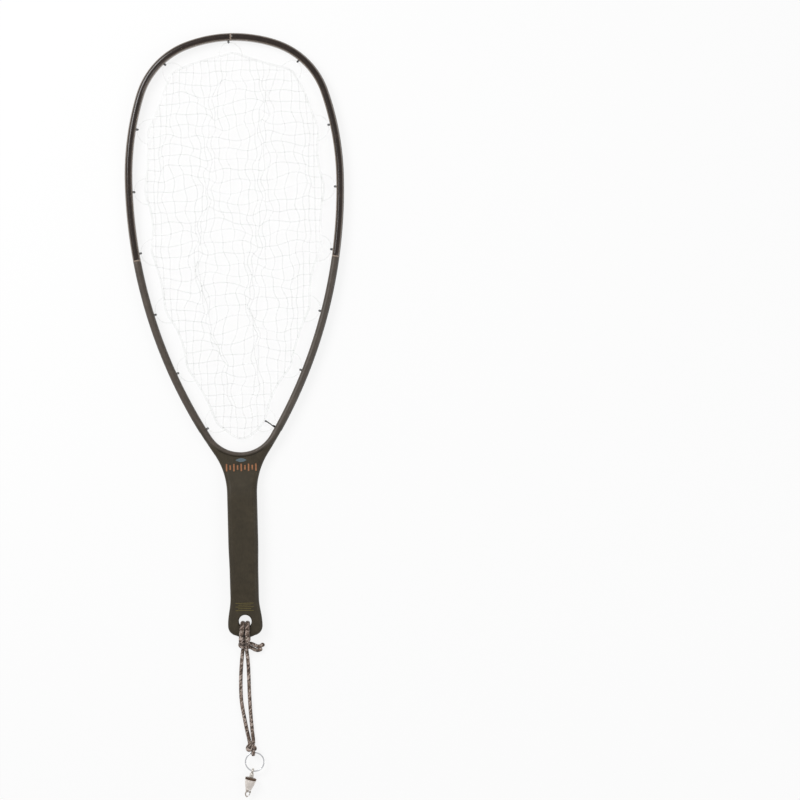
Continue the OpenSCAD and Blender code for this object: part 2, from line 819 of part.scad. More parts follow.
module gate_pin() {
    color([0.2, 0.18, 0.16])
        on_snap()
            translate([gate_pivot[0], gate_pivot[1], 0])
                cylinder(d = pin_d, h = pin_h, center = true, $fn = small_fn);
}

module snap_gate() {
    color([0.7, 0.68, 0.66])
        on_snap()
            difference() {
                union() {
                    translate([gate_pivot[0], gate_pivot[1], 0])
                        cylinder(d = gate_d, h = gate_h, center = true, $fn = small_fn);
                    rod(gate_pivot, gate_end, gate_wire);
                }
                translate([gate_pivot[0], gate_pivot[1], 0])
                    cylinder(d = gate_hole_d, h = 2 * pin_h, center = true, $fn = small_fn);
            }
}

hoop_tube_left();
hoop_tube_right();
lower_bow();
ferrule_tip();
ferrule_left();
ferrule_right();
bond_line_tip();
bond_line_left();
bond_line_right();
handle_front_shell();
handle_back_shell();
foam_core();
yoke_decal();
oval_decal();
butt_decal();
lacing_cord();
lacing_stitches();
lacing_tail();
net_bag();
lanyard_loop_left();
lanyard_loop_right();
lanyard_knot_upper();
lanyard_tails();
lanyard_strand_left();
lanyard_strand_right();
lanyard_knot_lower();
split_ring();
swivel_eye();
swivel_collar();
snap_barrel();
snap_hook();
gate_pin();
snap_gate();
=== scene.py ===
# Landing net lying flat: composite hoop and handle, clear rubber bag laced inside the hoop, and a
# camouflage cord lanyard with a split ring and a swivel snap. Sizes are in millimetres until a
# mesh is made.
import math

import bpy
import numpy as np
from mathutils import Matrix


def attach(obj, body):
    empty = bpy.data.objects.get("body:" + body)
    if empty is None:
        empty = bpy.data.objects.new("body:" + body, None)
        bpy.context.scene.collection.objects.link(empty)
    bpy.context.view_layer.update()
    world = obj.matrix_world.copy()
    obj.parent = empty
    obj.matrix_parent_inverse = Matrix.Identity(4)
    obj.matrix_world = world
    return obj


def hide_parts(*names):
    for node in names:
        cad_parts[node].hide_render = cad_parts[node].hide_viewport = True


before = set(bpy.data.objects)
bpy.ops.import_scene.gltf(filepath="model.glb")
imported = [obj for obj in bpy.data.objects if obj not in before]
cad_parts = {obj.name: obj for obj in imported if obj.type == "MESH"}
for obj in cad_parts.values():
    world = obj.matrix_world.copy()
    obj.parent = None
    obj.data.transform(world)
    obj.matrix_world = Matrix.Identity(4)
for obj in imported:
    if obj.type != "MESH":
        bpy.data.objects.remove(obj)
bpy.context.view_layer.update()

# ---- Camera ----
# A long lens straight above the net, a little to its right, so the net lies left of the middle.
# The camera is turned a little, as the net lies a degree and a half off the frame's upright.
MM = 0.001
VIEW_CENTRE = (0.17487, -0.07486)
VIEW_WIDTH = 0.8738
CAMERA_HEIGHT = 3.0
HOOP_MIDDLE_Z = 0.0063
CAMERA_ROLL = -1.433

lens_data = bpy.data.cameras.new("camera")
lens_data.sensor_width = 36
lens_data.lens = lens_data.sensor_width * CAMERA_HEIGHT / VIEW_WIDTH
camera = bpy.data.objects.new("camera", lens_data)
camera.location = (*VIEW_CENTRE, CAMERA_HEIGHT + HOOP_MIDDLE_Z)
camera.rotation_euler = (0, 0, math.radians(CAMERA_ROLL))
bpy.context.scene.collection.objects.link(camera)
bpy.context.scene.camera = camera
bpy.context.scene.view_settings.view_transform = "Standard"


# ---- Lanyard strands ----
# Two runs of braided nylon cord, 4 mm thick, from the knot under the butt to the knot on the ring.
# The sheath is woven from eight pairs of yarns in camouflage colours, over a straight core.
CORD_R = 2.0
BRAID_YARNS = 8
BRAID_LAY = 13.0
STRAND_LEFT = [
    (-3.7, -343.8, 4.7), (-4.4, -348.6, 3), (-5.1, -354, 2.1), (-5.7, -360, 2.1), (-6.3, -367, 2.1),
    (-6.8, -375, 2.1), (-7, -383, 2.1), (-7, -391, 2.1), (-6.7, -399, 2.1), (-5.9, -406, 2.1),
    (-4.8, -413, 2.1), (-3.6, -420, 2.1), (-2.4, -427, 2.1), (-1.1, -434, 2.1), (0.3, -440, 2.9),
    (1.3, -445.6, 4.6),
]
STRAND_RIGHT = [
    (0.5, -343.8, 4.7), (0.9, -348.6, 3), (1.4, -354, 2.1), (1.7, -360, 2.1), (1.9, -367, 2.1),
    (2, -375, 2.1), (2.1, -383, 2.1), (2.2, -391, 2.1), (2.4, -399, 2.1), (2.7, -406, 2.1),
    (3, -413, 2.1), (3.4, -420, 2.1), (3.9, -427, 2.1), (4.4, -434, 2.1), (5.1, -440, 2.9),
    (5.5, -445.1, 4.5),
]


def unit(v):
    """Vectors along the last axis, each made one long."""
    return v / np.maximum(np.linalg.norm(v, axis=-1, keepdims=True), 1e-12)


def resample(path, step):
    """The path again, with its points about one step apart."""
    run = np.concatenate([[0], np.cumsum(np.linalg.norm(np.diff(path, axis=0), axis=1))])
    at = np.linspace(0, run[-1], max(2, int(round(run[-1] / step))) + 1)
    return np.stack([np.interp(at, run, path[:, k]) for k in range(3)], 1)


def smooth_route(points, step):
    """A smooth path through the points."""
    p = np.array(points, float)
    p = np.vstack([2 * p[0] - p[1], p, 2 * p[-1] - p[-2]])
    t = np.linspace(0, 1, 12, endpoint=False)[:, None]
    fine = [
        0.5 * (2 * b + (c - a) * t + (2 * a - 5 * b + 4 * c - d) * t**2 + (3 * b - a - 3 * c + d) * t**3)
        for a, b, c, d in zip(p, p[1:], p[2:], p[3:])
    ]
    return resample(np.vstack([*fine, p[-2:-1]]), step)


def add_piece(name, points, faces, corners=None):
    """A smooth mesh object from points in millimetres, with a UV map if each face corner has one."""
    mesh = bpy.data.meshes.new(name)
    mesh.from_pydata((np.asarray(points, float) * MM).tolist(), [], [tuple(map(int, f)) for f in faces])
    if corners is not None:
        mesh.uv_layers.new(name="UVMap").data.foreach_set("uv", np.asarray(corners, np.float32).ravel())
    mesh.polygons.foreach_set("use_smooth", [True] * len(mesh.polygons))
    piece = bpy.data.objects.new(name, mesh)
    bpy.context.scene.collection.objects.link(piece)
    return piece


def closed_rings(rings, along, loops=False):
    """Points, faces and UV corners of a skin over rings of points, closed at poles or into a loop."""
    count, sides = len(rings), len(rings[0])
    points = np.vstack(rings)
    faces, corners = [], []
    for i in range(count if loops else count - 1):
        k = (i + 1) % count
        u0, u1 = along[i], along[i + 1]
        for j in range(sides):
            n = (j + 1) % sides
            faces.append((i * sides + j, i * sides + n, k * sides + n, k * sides + j))
            corners += [(u0, j / sides), (u0, (j + 1) / sides), (u1, (j + 1) / sides), (u1, j / sides)]
    if not loops:
        poles = [rings[0].mean(0), rings[-1].mean(0)]
        points = np.vstack([points, poles])
        for j in range(sides):
            n = (j + 1) % sides
            faces.append((len(points) - 2, n, j))
            corners += [(along[0], (j + 0.5) / sides), (along[0], (j + 1) / sides), (along[0], j / sides)]
            last = (count - 1) * sides
            faces.append((len(points) - 1, last + j, last + n))
            corners += [(along[-1], (j + 0.5) / sides), (along[-1], j / sides),
                (along[-1], (j + 1) / sides)]
    return points, faces, corners


def tube(name, path, radius, sides=16, loops=False, relief=None, round_ends=4):
    """A round tube along a path. relief gives a share of the radius for each length and turn."""
    path = np.asarray(path, float)
    count = len(path)
    if loops:
        tangents = unit(np.roll(path, -1, 0) - np.roll(path, 1, 0))
    else:
        tangents = unit(np.gradient(path, axis=0))
    gaps = np.linalg.norm(np.diff(np.vstack([path, path[:1]]) if loops else path, axis=0), axis=1)
    along = np.concatenate([[0], np.cumsum(gaps)])
    side = np.cross(tangents[0], (0, 0, 1) if abs(tangents[0][2]) < 0.9 else (1, 0, 0))
    sides_out = [unit(side)]
    for t in tangents[1:]:
        moved = sides_out[-1] - t * (sides_out[-1] @ t)
        sides_out.append(unit(moved))
    across = np.array(sides_out)
    if loops:
        back = unit(across[-1] - tangents[0] * (across[-1] @ tangents[0]))
        turn = math.atan2(np.cross(across[0], back) @ tangents[0], across[0] @ back)
        twist = -turn * np.arange(count) / count
        up = np.cross(tangents, across)
        across = across * np.cos(twist)[:, None] + up * np.sin(twist)[:, None]
    up = np.cross(tangents, across)
    theta = 2 * np.pi * np.arange(sides) / sides
    r = np.broadcast_to(np.asarray(radius, float), (count,))
    shape = np.ones((count, sides)) if relief is None else relief(along[:count, None], theta[None, :])
    spokes = across[:, None] * np.cos(theta)[None, :, None] + up[:, None] * np.sin(theta)[None, :, None]
    rings = list(path[:, None] + spokes * (shape * r[:, None])[..., None])
    lengths = list(along)
    if not loops and round_ends:
        for k in range(1, round_ends + 1):
            a = math.radians(88 * k / round_ends)
            for end, way in ((0, -1), (-1, 1)):
                ring = path[end] + (spokes[end] * (shape[end] * r[end])[:, None]) * math.cos(a) \
                    + tangents[end] * way * r[end] * math.sin(a)
                if way < 0:
                    rings.insert(0, ring)
                    lengths.insert(0, -r[end] * math.sin(a))
                else:
                    rings.append(ring)
                    lengths.append(along[-1] + r[end] * math.sin(a))
    return add_piece(name, *closed_rings(rings, lengths, loops))


def braid(along, turn):
    """Relief of a braided sheath: two families of yarns that wind opposite ways over each other."""
    lay = 2 * np.pi * along / BRAID_LAY
    one = np.cos(BRAID_YARNS * turn + BRAID_YARNS * lay)
    other = np.cos(BRAID_YARNS * turn - BRAID_YARNS * lay)
    return 0.985 + 0.03 * np.maximum(one, other)


def linear(red, green, blue):
    """A colour given as it looks on a screen, 0 to 255, as the shader wants it."""
    return tuple((c / 255 / 12.92 if c < 10.3 else ((c / 255 + 0.055) / 1.055) ** 2.4)
        for c in (red, green, blue)) + (1,)


def new_finish(name, **constants):
    """A material and its tree, with the constants set on the shader's own sockets."""
    material = bpy.data.materials.new(name)
    material.use_nodes = True
    shader = material.node_tree.nodes["Principled BSDF"]
    for socket, value in constants.items():
        shader.inputs[socket.replace("_", " ")].default_value = value
    return material, material.node_tree, shader


def add_node(tree, kind, values=None, **settings):
    """A node with its settings, and its inputs set or linked."""
    made = tree.nodes.new(kind)
    for key, value in settings.items():
        setattr(made, key, value)
    for key, value in (values or {}).items():
        if isinstance(value, bpy.types.NodeSocket):
            tree.links.new(value, made.inputs[key])
        else:
            made.inputs[key].default_value = value
    return made


def sums(tree, operation, a, b=0.0, c=0.0):
    """The result of one sum on sockets or numbers."""
    return add_node(tree, "ShaderNodeMath", {0: a, 1: b, 2: c}, operation=operation).outputs[0]


def ramp(tree, factor, stops, interpolation="LINEAR"):
    """A colour from a factor: stops are (place, colour)."""
    made = add_node(tree, "ShaderNodeValToRGB", {0: factor})
    made.color_ramp.interpolation = interpolation
    while len(made.color_ramp.elements) < len(stops):
        made.color_ramp.elements.new(0.5)
    for element, (place, colour) in zip(made.color_ramp.elements, stops):
        element.position = place
        element.color = colour
    return made.outputs[0]


def grey(level):
    return (level, level, level, 1)


def mottle(tree, scale, detail=3.0, stretch=(1, 1, 1), rough=0.5):
    """Cloudy noise on the object's own coordinates, which are in metres."""
    place = add_node(tree, "ShaderNodeTexCoord").outputs["Object"]
    sized = add_node(tree, "ShaderNodeMapping", {"Vector": place, "Scale": stretch})
    values = {"Vector": sized.outputs[0], "Scale": scale, "Detail": detail, "Roughness": rough}
    return add_node(tree, "ShaderNodeTexNoise", values).outputs[0]


def mix_colour(tree, factor, a, b, blend="MIX"):
    made = add_node(tree, "ShaderNodeMix", data_type="RGBA", blend_type=blend)
    for key, value in ((0, factor), (6, a), (7, b)):
        if isinstance(value, bpy.types.NodeSocket):
            tree.links.new(value, made.inputs[key])
        else:
            made.inputs[key].default_value = value
    return made.outputs[2]


def relief_on(tree, shader, height, distance, strength=0.5):
    """Fine relief from a height, in metres."""
    bump = add_node(tree, "ShaderNodeBump", {"Height": height, "Distance": distance, "Strength": strength})
    tree.links.new(bump.outputs[0], shader.inputs["Normal"])


def camo_finish():
    """Braided nylon: yarn colours change from crossing to crossing, and each yarn is painted with shade
    towards its edges, in the dips between yarns.
    """
    material, tree, shader = new_finish(
        "camo_cord", Roughness=0.78, Sheen_Weight=0.35, Sheen_Roughness=0.45, Specular_IOR_Level=0.3)
    uv = add_node(tree, "ShaderNodeSeparateXYZ", {0: add_node(tree, "ShaderNodeTexCoord").outputs["UV"]})
    along = sums(tree, "DIVIDE", uv.outputs[0], BRAID_LAY)
    plus = sums(tree, "MULTIPLY", sums(tree, "ADD", uv.outputs[1], along), BRAID_YARNS)
    minus = sums(tree, "MULTIPLY", sums(tree, "SUBTRACT", uv.outputs[1], along), BRAID_YARNS)
    wide = sums(tree, "FLOOR", sums(tree, "MULTIPLY", plus, 0.25))
    cell = add_node(tree, "ShaderNodeCombineXYZ", {
        0: sums(tree, "WRAP", wide, 2.0, 0.0), 1: sums(tree, "FLOOR", minus),
        2: sums(tree, "FLOOR", sums(tree, "DIVIDE", uv.outputs[0], 3.1))})
    hashed = add_node(tree, "ShaderNodeTexWhiteNoise", {"Vector": cell.outputs[0]}).outputs[0]
    drift = mottle(tree, 260, 2.0)
    picked = sums(tree, "ADD", sums(tree, "MULTIPLY", hashed, 0.62), sums(tree, "MULTIPLY", drift, 0.38))
    yarn = ramp(tree, picked, [
        (0.0, linear(72, 59, 50)), (0.3, linear(104, 87, 76)), (0.44, linear(132, 114, 102)),
        (0.54, linear(166, 147, 136)), (0.68, linear(200, 184, 174)), (0.8, linear(98, 92, 70))],
        "CONSTANT")
    ridge = sums(tree, "ABSOLUTE", sums(tree, "SINE", sums(tree, "MULTIPLY", plus, math.pi)))
    cross = sums(tree, "ABSOLUTE", sums(tree, "SINE", sums(tree, "MULTIPLY", minus, math.pi)))
    height = sums(tree, "MAXIMUM", ridge, cross)
    # Painted shade: the yarns darken where they dip under each other.
    shade = ramp(tree, height, [(0.45, grey(0.52)), (0.95, grey(1))])
    tree.links.new(mix_colour(tree, 1.0, yarn, shade, "MULTIPLY"), shader.inputs["Base Color"])
    fibre = sums(tree, "MULTIPLY", mottle(tree, 2600, 2.0), 0.35)
    relief_on(tree, shader, sums(tree, "ADD", height, fibre), 0.00018, 0.8)
    return material


camo_cord = camo_finish()


def seat(piece, body, slot, finish, *replaced):
    """Gives a finished piece its material and its body, and hides the nodes it stands for. slot is not used.
    """
    if finish is not None:
        piece.data.materials.clear()
        piece.data.materials.append(finish)
    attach(piece, body)
    if replaced:
        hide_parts(*replaced)
    return piece


BRAID_STEP = 0.42
BRAID_SIDES = 48
strand_paths = {"left": smooth_route(STRAND_LEFT, BRAID_STEP),
    "right": smooth_route(STRAND_RIGHT, BRAID_STEP)}
strands = {}
for hand, path in strand_paths.items():
    strands[hand] = tube("strand_" + hand, path, CORD_R, BRAID_SIDES, relief=braid)
    seat(strands[hand], "lanyard", "camo_cord", camo_cord, "lanyard_strand_" + hand)


# ---- Lanyard loops and knots ----
# The same cord goes down through the hole and back round the butt twice, and is tied below it.
# Two short tails with melted ends stick out of that knot; the lower knot holds the split ring.
HOLE = (0.0, -312.0)
LOOP_X = 2.5
LOOP_FLAT = 1.22
LOOP_LEAN = (-1.9, -0.3)
LOOP_ROUTE = [
    (-24.6, 11.2), (-22.4, 13.4), (-19.6, 14.8), (-16, 15.3), (-12.2, 15.4), (-8.4, 15.4),
    (-5, 15), (-2.5, 13.6), (-1.6, 11.2), (-1.5, 8.6), (-1.9, 6), (-3, 3.9),
    (-5.6, 2.5), (-9, 2.1), (-13, 2.1), (-16.4, 2.1), (-19, 2.3), (-21, 2.9),
]
HARDWARE_Z = 6.2
UPPER_KNOT = (-1.6, -338.2, HARDWARE_Z)
LOWER_KNOT = (3.6, -451.4, HARDWARE_Z)
TAIL_LONG = [
    (3.2, -336.4, 6.6), (6.2, -336.9, 5.8), (9.4, -338.6, 4.6), (12.4, -340.1, 3.6), (15.2, -340, 2.8),
    (18, -338.7, 2.4),
]
TAIL_SHORT = [(3.4, -340.4, 5.4), (6.4, -341.8, 3.8), (9.4, -343.8, 2.5), (12.6, -344.6, 2.3),
    (15.4, -343.6, 2.4)]
TAIL_END_R = 2.35
RING_AT = (6.4, -466.0)
RING_MID_R = 10.1
RING_HOLD_X = 5.0
RING_HOLD = (RING_HOLD_X, RING_AT[1] + math.sqrt(RING_MID_R**2 - (RING_AT[0] - RING_HOLD_X) ** 2),
    HARDWARE_Z)


def joined(name, *parts):
    """Several meshes made one object. They keep their UV maps."""
    bpy.ops.object.select_all(action="DESELECT")
    for part in parts:
        part.select_set(True)
    bpy.context.view_layer.objects.active = parts[0]
    bpy.ops.object.join()
    made = bpy.context.view_layer.objects.active
    made.name = name
    made.data.name = name
    made.select_set(False)
    return made


# The cord is drawn thinner where it is pulled tight, and the curve below reaches 3 from its middle.
KNOT_CORD_R, KNOT_SPREAD = 1.85, 3.0


def tied_knot(name, centre, reach, turned):
    """An overhand knot drawn tight: one closed run of cord that passes over and under itself."""
    t = np.linspace(0, 2 * np.pi, 90, endpoint=False)
    bend = np.stack([np.sin(t) + 2 * np.sin(2 * t), np.cos(t) - 2 * np.cos(2 * t), -1.9 * np.sin(3 * t)], 1)
    bend *= (reach - KNOT_CORD_R) / KNOT_SPREAD
    c, s = math.cos(math.radians(turned)), math.sin(math.radians(turned))
    bend = bend @ np.array([[c, s, 0], [-s, c, 0], [0, 0, 1]])
    return tube(name, bend + np.array(centre), KNOT_CORD_R, 32, loops=True, relief=braid)


for hand, way, lean in (("left", -1, LOOP_LEAN[0]), ("right", 1, LOOP_LEAN[1])):
    route = [(lean * min(-d / 20, 1) * (z > 6), HOLE[1] + d, z) for d, z in LOOP_ROUTE]
    loop = tube("loop_" + hand, smooth_route(route, BRAID_STEP), CORD_R, BRAID_SIDES, relief=braid)
    for corner in loop.data.vertices:
        corner.co.x = corner.co.x * LOOP_FLAT + way * LOOP_X * MM
    seat(loop, "lanyard", "camo_cord", camo_cord, "lanyard_loop_" + hand)



def cut_end(name, points):
    """A short end of cord, swollen where its cut was melted."""
    path = smooth_route(points, BRAID_STEP)
    swell = np.clip((np.arange(len(path)) - len(path) + 8) / 7, 0, 1)
    return tube(name, path, CORD_R + (TAIL_END_R - CORD_R) * swell, BRAID_SIDES, relief=braid)


upper_knot = tied_knot("knot_upper", UPPER_KNOT, 6.9, 20)
seat(upper_knot, "lanyard", "camo_cord", camo_cord, "lanyard_knot_upper")
tails = joined(
    "lanyard_tail_ends",
    cut_end("tail_long", TAIL_LONG),
    cut_end("tail_short", TAIL_SHORT),
)
seat(tails, "lanyard", "camo_cord", camo_cord, "lanyard_tails")

BIGHT_R = 2.65
BIGHT_WIRE_R = 1.15
BIGHT_WIDTH = 1.7
turn = np.linspace(0, 2 * np.pi, 48, endpoint=False)
bight_path = np.stack([0 * turn, BIGHT_R * np.cos(turn), BIGHT_R * np.sin(turn)], 1)
bight = tube("bight", bight_path, BIGHT_WIRE_R, 32, loops=True, relief=braid)
for corner in bight.data.vertices:
    corner.co.x = corner.co.x * BIGHT_WIDTH + RING_HOLD[0] * MM
    corner.co.y += RING_HOLD[1] * MM
    corner.co.z += RING_HOLD[2] * MM
KNOT_ABOVE_STEP = (-0.6, 1.85)
knot_above = (LOWER_KNOT[0] + KNOT_ABOVE_STEP[0], LOWER_KNOT[1] + KNOT_ABOVE_STEP[1], LOWER_KNOT[2])
lower_knot = joined("knot_lower", tied_knot("knot_body", knot_above, 6.6, -60), bight)
seat(lower_knot, "lanyard", "camo_cord", camo_cord, "lanyard_knot_lower")


# ---- Split ring ----
# A flat spring-steel wire wound twice round and pressed together, bright plated.
# The lanyard's bight and the snap's eye both hang on it.
RING_WIRE = 1.8


def new_recipe(name, **sizes):
    """A Geometry Nodes tree with a named input for each size. Returns the tree, its start and its sizes."""
    tree = bpy.data.node_groups.new(name, "GeometryNodeTree")
    tree.interface.new_socket("Geometry", in_out="INPUT", socket_type="NodeSocketGeometry")
    tree.interface.new_socket("Geometry", in_out="OUTPUT", socket_type="NodeSocketGeometry")
    for label, value in sizes.items():
        kind = "NodeSocketInt" if isinstance(value, int) else "NodeSocketFloat"
        socket = tree.interface.new_socket(label.replace("_", " "), in_out="INPUT", socket_type=kind)
        socket.default_value = value
    tree.interface.new_socket("Finish", in_out="INPUT", socket_type="NodeSocketMaterial")
    return tree, tree.nodes.new("NodeGroupInput").outputs


def end_recipe(tree, geometry, finish):
    """Ends a tree in smooth shading, Realize Instances and Set Material."""
    smooth = add_node(tree, "GeometryNodeSetShadeSmooth", {0: geometry})
    real = add_node(tree, "GeometryNodeRealizeInstances", {0: smooth.outputs[0]})
    painted = add_node(tree, "GeometryNodeSetMaterial", {0: real.outputs[0], "Material": finish})
    tree.links.new(painted.outputs[0], tree.nodes.new("NodeGroupOutput").inputs[0])


def follow_recipe(name, tree, base, finish, **sizes):
    """Runs a tree on a base object and keeps the result as a plain mesh object of that name."""
    modifier = base.modifiers.new("recipe", "NODES")
    modifier.node_group = tree
    for item in tree.interface.items_tree:
        if item.in_out == "INPUT" and item.socket_type != "NodeSocketGeometry":
            label = item.name.replace(" ", "_")
            if label in sizes:
                modifier[item.identifier] = sizes[label]
            elif label == "Finish":
                modifier[item.identifier] = finish
    evaluated = base.evaluated_get(bpy.context.evaluated_depsgraph_get())
    mesh = bpy.data.meshes.new_from_object(evaluated)
    base.modifiers.remove(modifier)
    bpy.data.objects.remove(base)
    mesh.name = name
    made = bpy.data.objects.new(name, mesh)
    bpy.context.scene.collection.objects.link(made)
    return made


def put(piece, origin, turned=0.0):
    """Turns a mesh about Z and moves it to its origin, in millimetres, within the mesh itself."""
    c, s = math.cos(math.radians(turned)), math.sin(math.radians(turned))
    for corner in piece.data.vertices:
        x, y, z = corner.co
        corner.co = (c * x - s * y + origin[0] * MM, s * x + c * y + origin[1] * MM, z + origin[2] * MM)
    return piece


def empty_base():
    """A single point for a recipe that builds its whole shape itself."""
    return add_piece("base", [(0, 0, 0)], [])


def coil_recipe():
    """Two turns of flat wire that lie on each other."""
    tree, sizes = new_recipe("ring_coil", Radius=0.0101, Wire_Width=0.0015, Wire_Height=0.0008, Turns=2.0)
    spiral = add_node(tree, "GeometryNodeCurveSpiral", {
        "Resolution": 96, "Rotations": sizes["Turns"], "Start Radius": sizes["Radius"],
        "End Radius": sizes["Radius"], "Height": sizes["Wire Height"]})
    wire = add_node(tree, "GeometryNodeCurvePrimitiveQuadrilateral", {
        "Width": sizes["Wire Width"], "Height": sizes["Wire Height"]})
    edge = sums(tree, "MULTIPLY", sizes["Wire Height"], 0.34)
    rounded = add_node(tree, "GeometryNodeFilletCurve",
        {"Curve": wire.outputs[0], "Radius": edge, "Count": 4}, mode="POLY")
    return tree, sizes, spiral, rounded


ring_tree, ring_sizes, ring_spiral, ring_wire_section = coil_recipe()
ring_skin = add_node(ring_tree, "GeometryNodeCurveToMesh", {
    "Curve": ring_spiral.outputs[0], "Profile Curve": ring_wire_section.outputs[0], "Fill Caps": True})
end_recipe(ring_tree, ring_skin.outputs[0], ring_sizes["Finish"])

steel_finish, steel_tree, steel_shader = new_finish("bright_steel", Metallic=0.75, Roughness=0.2)
steel_cloud = mottle(steel_tree, 420, 4.0)
steel_tree.links.new(
    ramp(steel_tree, steel_cloud, [(0.3, linear(222, 224, 227)), (0.7, linear(246, 246, 248))]),
    steel_shader.inputs["Base Color"])
steel_tree.links.new(
    ramp(steel_tree, mottle(steel_tree, 900, 3.0, (1, 1, 6)), [(0.35, grey(0.12)), (0.75, grey(0.32))]),
    steel_shader.inputs["Roughness"])
relief_on(steel_tree, steel_shader, mottle(steel_tree, 3000, 2.0, (1, 1, 8)), 0.00002, 0.4)

split_ring = follow_recipe(
    "ring_coil", ring_tree, empty_base(), steel_finish,
    Radius=RING_MID_R * MM, Wire_Width=RING_WIRE * 0.8 * MM, Wire_Height=RING_WIRE / 2 * MM, Turns=2.0)
put(split_ring, (*RING_AT, HARDWARE_Z - RING_WIRE / 4), 35)
seat(split_ring, "ring", "bright_steel", None, "split_ring")


# ---- Swivel snap ----
# A die-cast barrel turns on the headed post of a small eye, which hangs on the split ring.
# A pressed collar closes the barrel; the sprung gate pivots on a pin at the root of the hook.
CLIP_TURN = -14.5
CLIP_AT = (
    RING_AT[0] + RING_MID_R * math.sin(math.radians(CLIP_TURN)),
    RING_AT[1] - RING_MID_R * math.cos(math.radians(CLIP_TURN)),
    HARDWARE_Z,
)
EYE_R, EYE_HOLE_R, EYE_T = 3.0, 1.5, 2.4
POST_R = 2.4
NECK_TO = 7.6
COLLAR_TO = 10.0
BARREL_TO = 21.5
BARREL_R, BARREL_END_R = 6.1, 3.2
HOOK_TO = 29.7
HOOK_W = 5.6
HOOK_WIRE_R = 0.75
GATE_PIVOT = (HOOK_W / 2 - 0.4, -(BARREL_TO + 1.6), 0.0)


def turned_piece(name, profile, sides=64):
    """A turned piece on the snap's own axis: the profile is (distance along it, radius)."""
    theta = 2 * np.pi * np.arange(sides) / sides
    rings = []
    for d, r in profile:
        rings.append(np.stack([r * np.sin(theta), np.full(sides, -d), r * np.cos(theta)], 1))
    along = [0.0]
    for (d0, r0), (d1, r1) in zip(profile, profile[1:]):
        along.append(along[-1] + math.hypot(d1 - d0, r1 - r0))
    return add_piece(name, *closed_rings(rings, along))


def eased(profile, r=0.25, steps=4):
    """The profile with its inner corners rounded, so that light catches the edges."""
    p = np.array(profile, float)
    out = [p[0]]
    for a, b, c in zip(p, p[1:], p[2:]):
        reach = min(r, np.linalg.norm(a - b) * 0.45, np.linalg.norm(c - b) * 0.45)
        start, end = b + (a - b) / max(np.linalg.norm(a - b), 1e-9) * reach, \
            b + (c - b) / max(np.linalg.norm(c - b), 1e-9) * reach
        for t in np.linspace(0, 1, steps):
            out.append((1 - t) ** 2 * start + 2 * t * (1 - t) * b + t**2 * end)
    out.append(p[-1])
    return [tuple(q) for q in out]


def metal_finish(name, low, high, metallic, rough_low, rough_high, grain=1800, **constants):
    """Cast or plated metal: cloudy tone, fine grain and a roughness that varies with handling."""
    material, tree, shader = new_finish(name, Metallic=metallic, **constants)
    cloud = mottle(tree, 380, 4.0)
    tree.links.new(ramp(tree, cloud, [(0.32, linear(*low)), (0.68, linear(*high))]),
        shader.inputs["Base Color"])
    tree.links.new(
        ramp(tree, mottle(tree, 700, 3.0), [(0.3, grey(rough_low)), (0.75, grey(rough_high))]),
        shader.inputs["Roughness"])
    relief_on(tree, shader, mottle(tree, grain, 3.0), 0.00004, 0.5)
    return material


nickel = metal_finish("nickel", (196, 190, 182), (232, 226, 218), 0.6, 0.2, 0.42)
pale_metal = metal_finish("pale_metal", (220, 211, 203), (240, 232, 225), 0.15, 0.34, 0.55,
    Specular_IOR_Level=0.6)
# dark_collar is partly the collar's own dark oxide and partly painted shade of the gap at the collar.
dark_collar = metal_finish("dark_collar", (84, 64, 50), (120, 97, 78), 0.4, 0.3, 0.5)
hook_metal = metal_finish("hook_metal", (160, 148, 138), (208, 198, 188), 0.45, 0.28, 0.48)

eye_ring_r = (EYE_R + EYE_HOLE_R) / 2
eye_ring = tube(
    "eye_ring", np.stack([0 * turn, eye_ring_r * np.cos(turn), eye_ring_r * np.sin(turn)], 1),
    (EYE_R - EYE_HOLE_R) / 2, 20, loops=True)
for corner in eye_ring.data.vertices:
    corner.co.x *= EYE_T / (EYE_R - EYE_HOLE_R)
post = turned_piece("post", eased([
    (2.3, 1.6), (2.9, 2.0), (3.6, POST_R), (NECK_TO - 0.5, POST_R), (NECK_TO - 0.2, POST_R - 0.3),
    (10.2, POST_R - 0.3), (10.3, 3.2), (11.8, 3.2), (11.9, 0.2)]), 48)
swivel_eye = put(joined("eye_and_post", eye_ring, post), CLIP_AT, CLIP_TURN)
seat(swivel_eye, "swivel", "nickel", nickel, "swivel_eye")


def collar_ribs_recipe():
    """Small round-ended ribs set round the collar's edge."""
    tree, sizes = new_recipe("collar_ribs", Count=44, Radius=0.0059, Rib_Length=0.0016, Rib_Radius=0.00032)
    circle = add_node(tree, "GeometryNodeMeshCircle",
        {"Vertices": sizes["Count"], "Radius": sizes["Radius"]})
    rib = add_node(tree, "GeometryNodeCurvePrimitiveLine", {"Start": (0, 0, -0.5), "End": (0, 0, 0.5)})
    long_rib = add_node(tree, "GeometryNodeTransform", {"Geometry": rib.outputs[0]})
    scale = add_node(tree, "ShaderNodeCombineXYZ", {0: 1.0, 1: 1.0, 2: sizes["Rib Length"]})
    tree.links.new(scale.outputs[0], long_rib.inputs["Scale"])
    section = add_node(tree, "GeometryNodeCurvePrimitiveCircle",
        {"Resolution": 8, "Radius": sizes["Rib Radius"]})
    skin = add_node(tree, "GeometryNodeCurveToMesh", {
        "Curve": long_rib.outputs[0], "Profile Curve": section.outputs[0], "Fill Caps": True})
    set_round = add_node(tree, "GeometryNodeInstanceOnPoints", {
        "Points": circle.outputs[0], "Instance": skin.outputs[0]})
    end_recipe(tree, set_round.outputs[0], sizes["Finish"])
    return tree


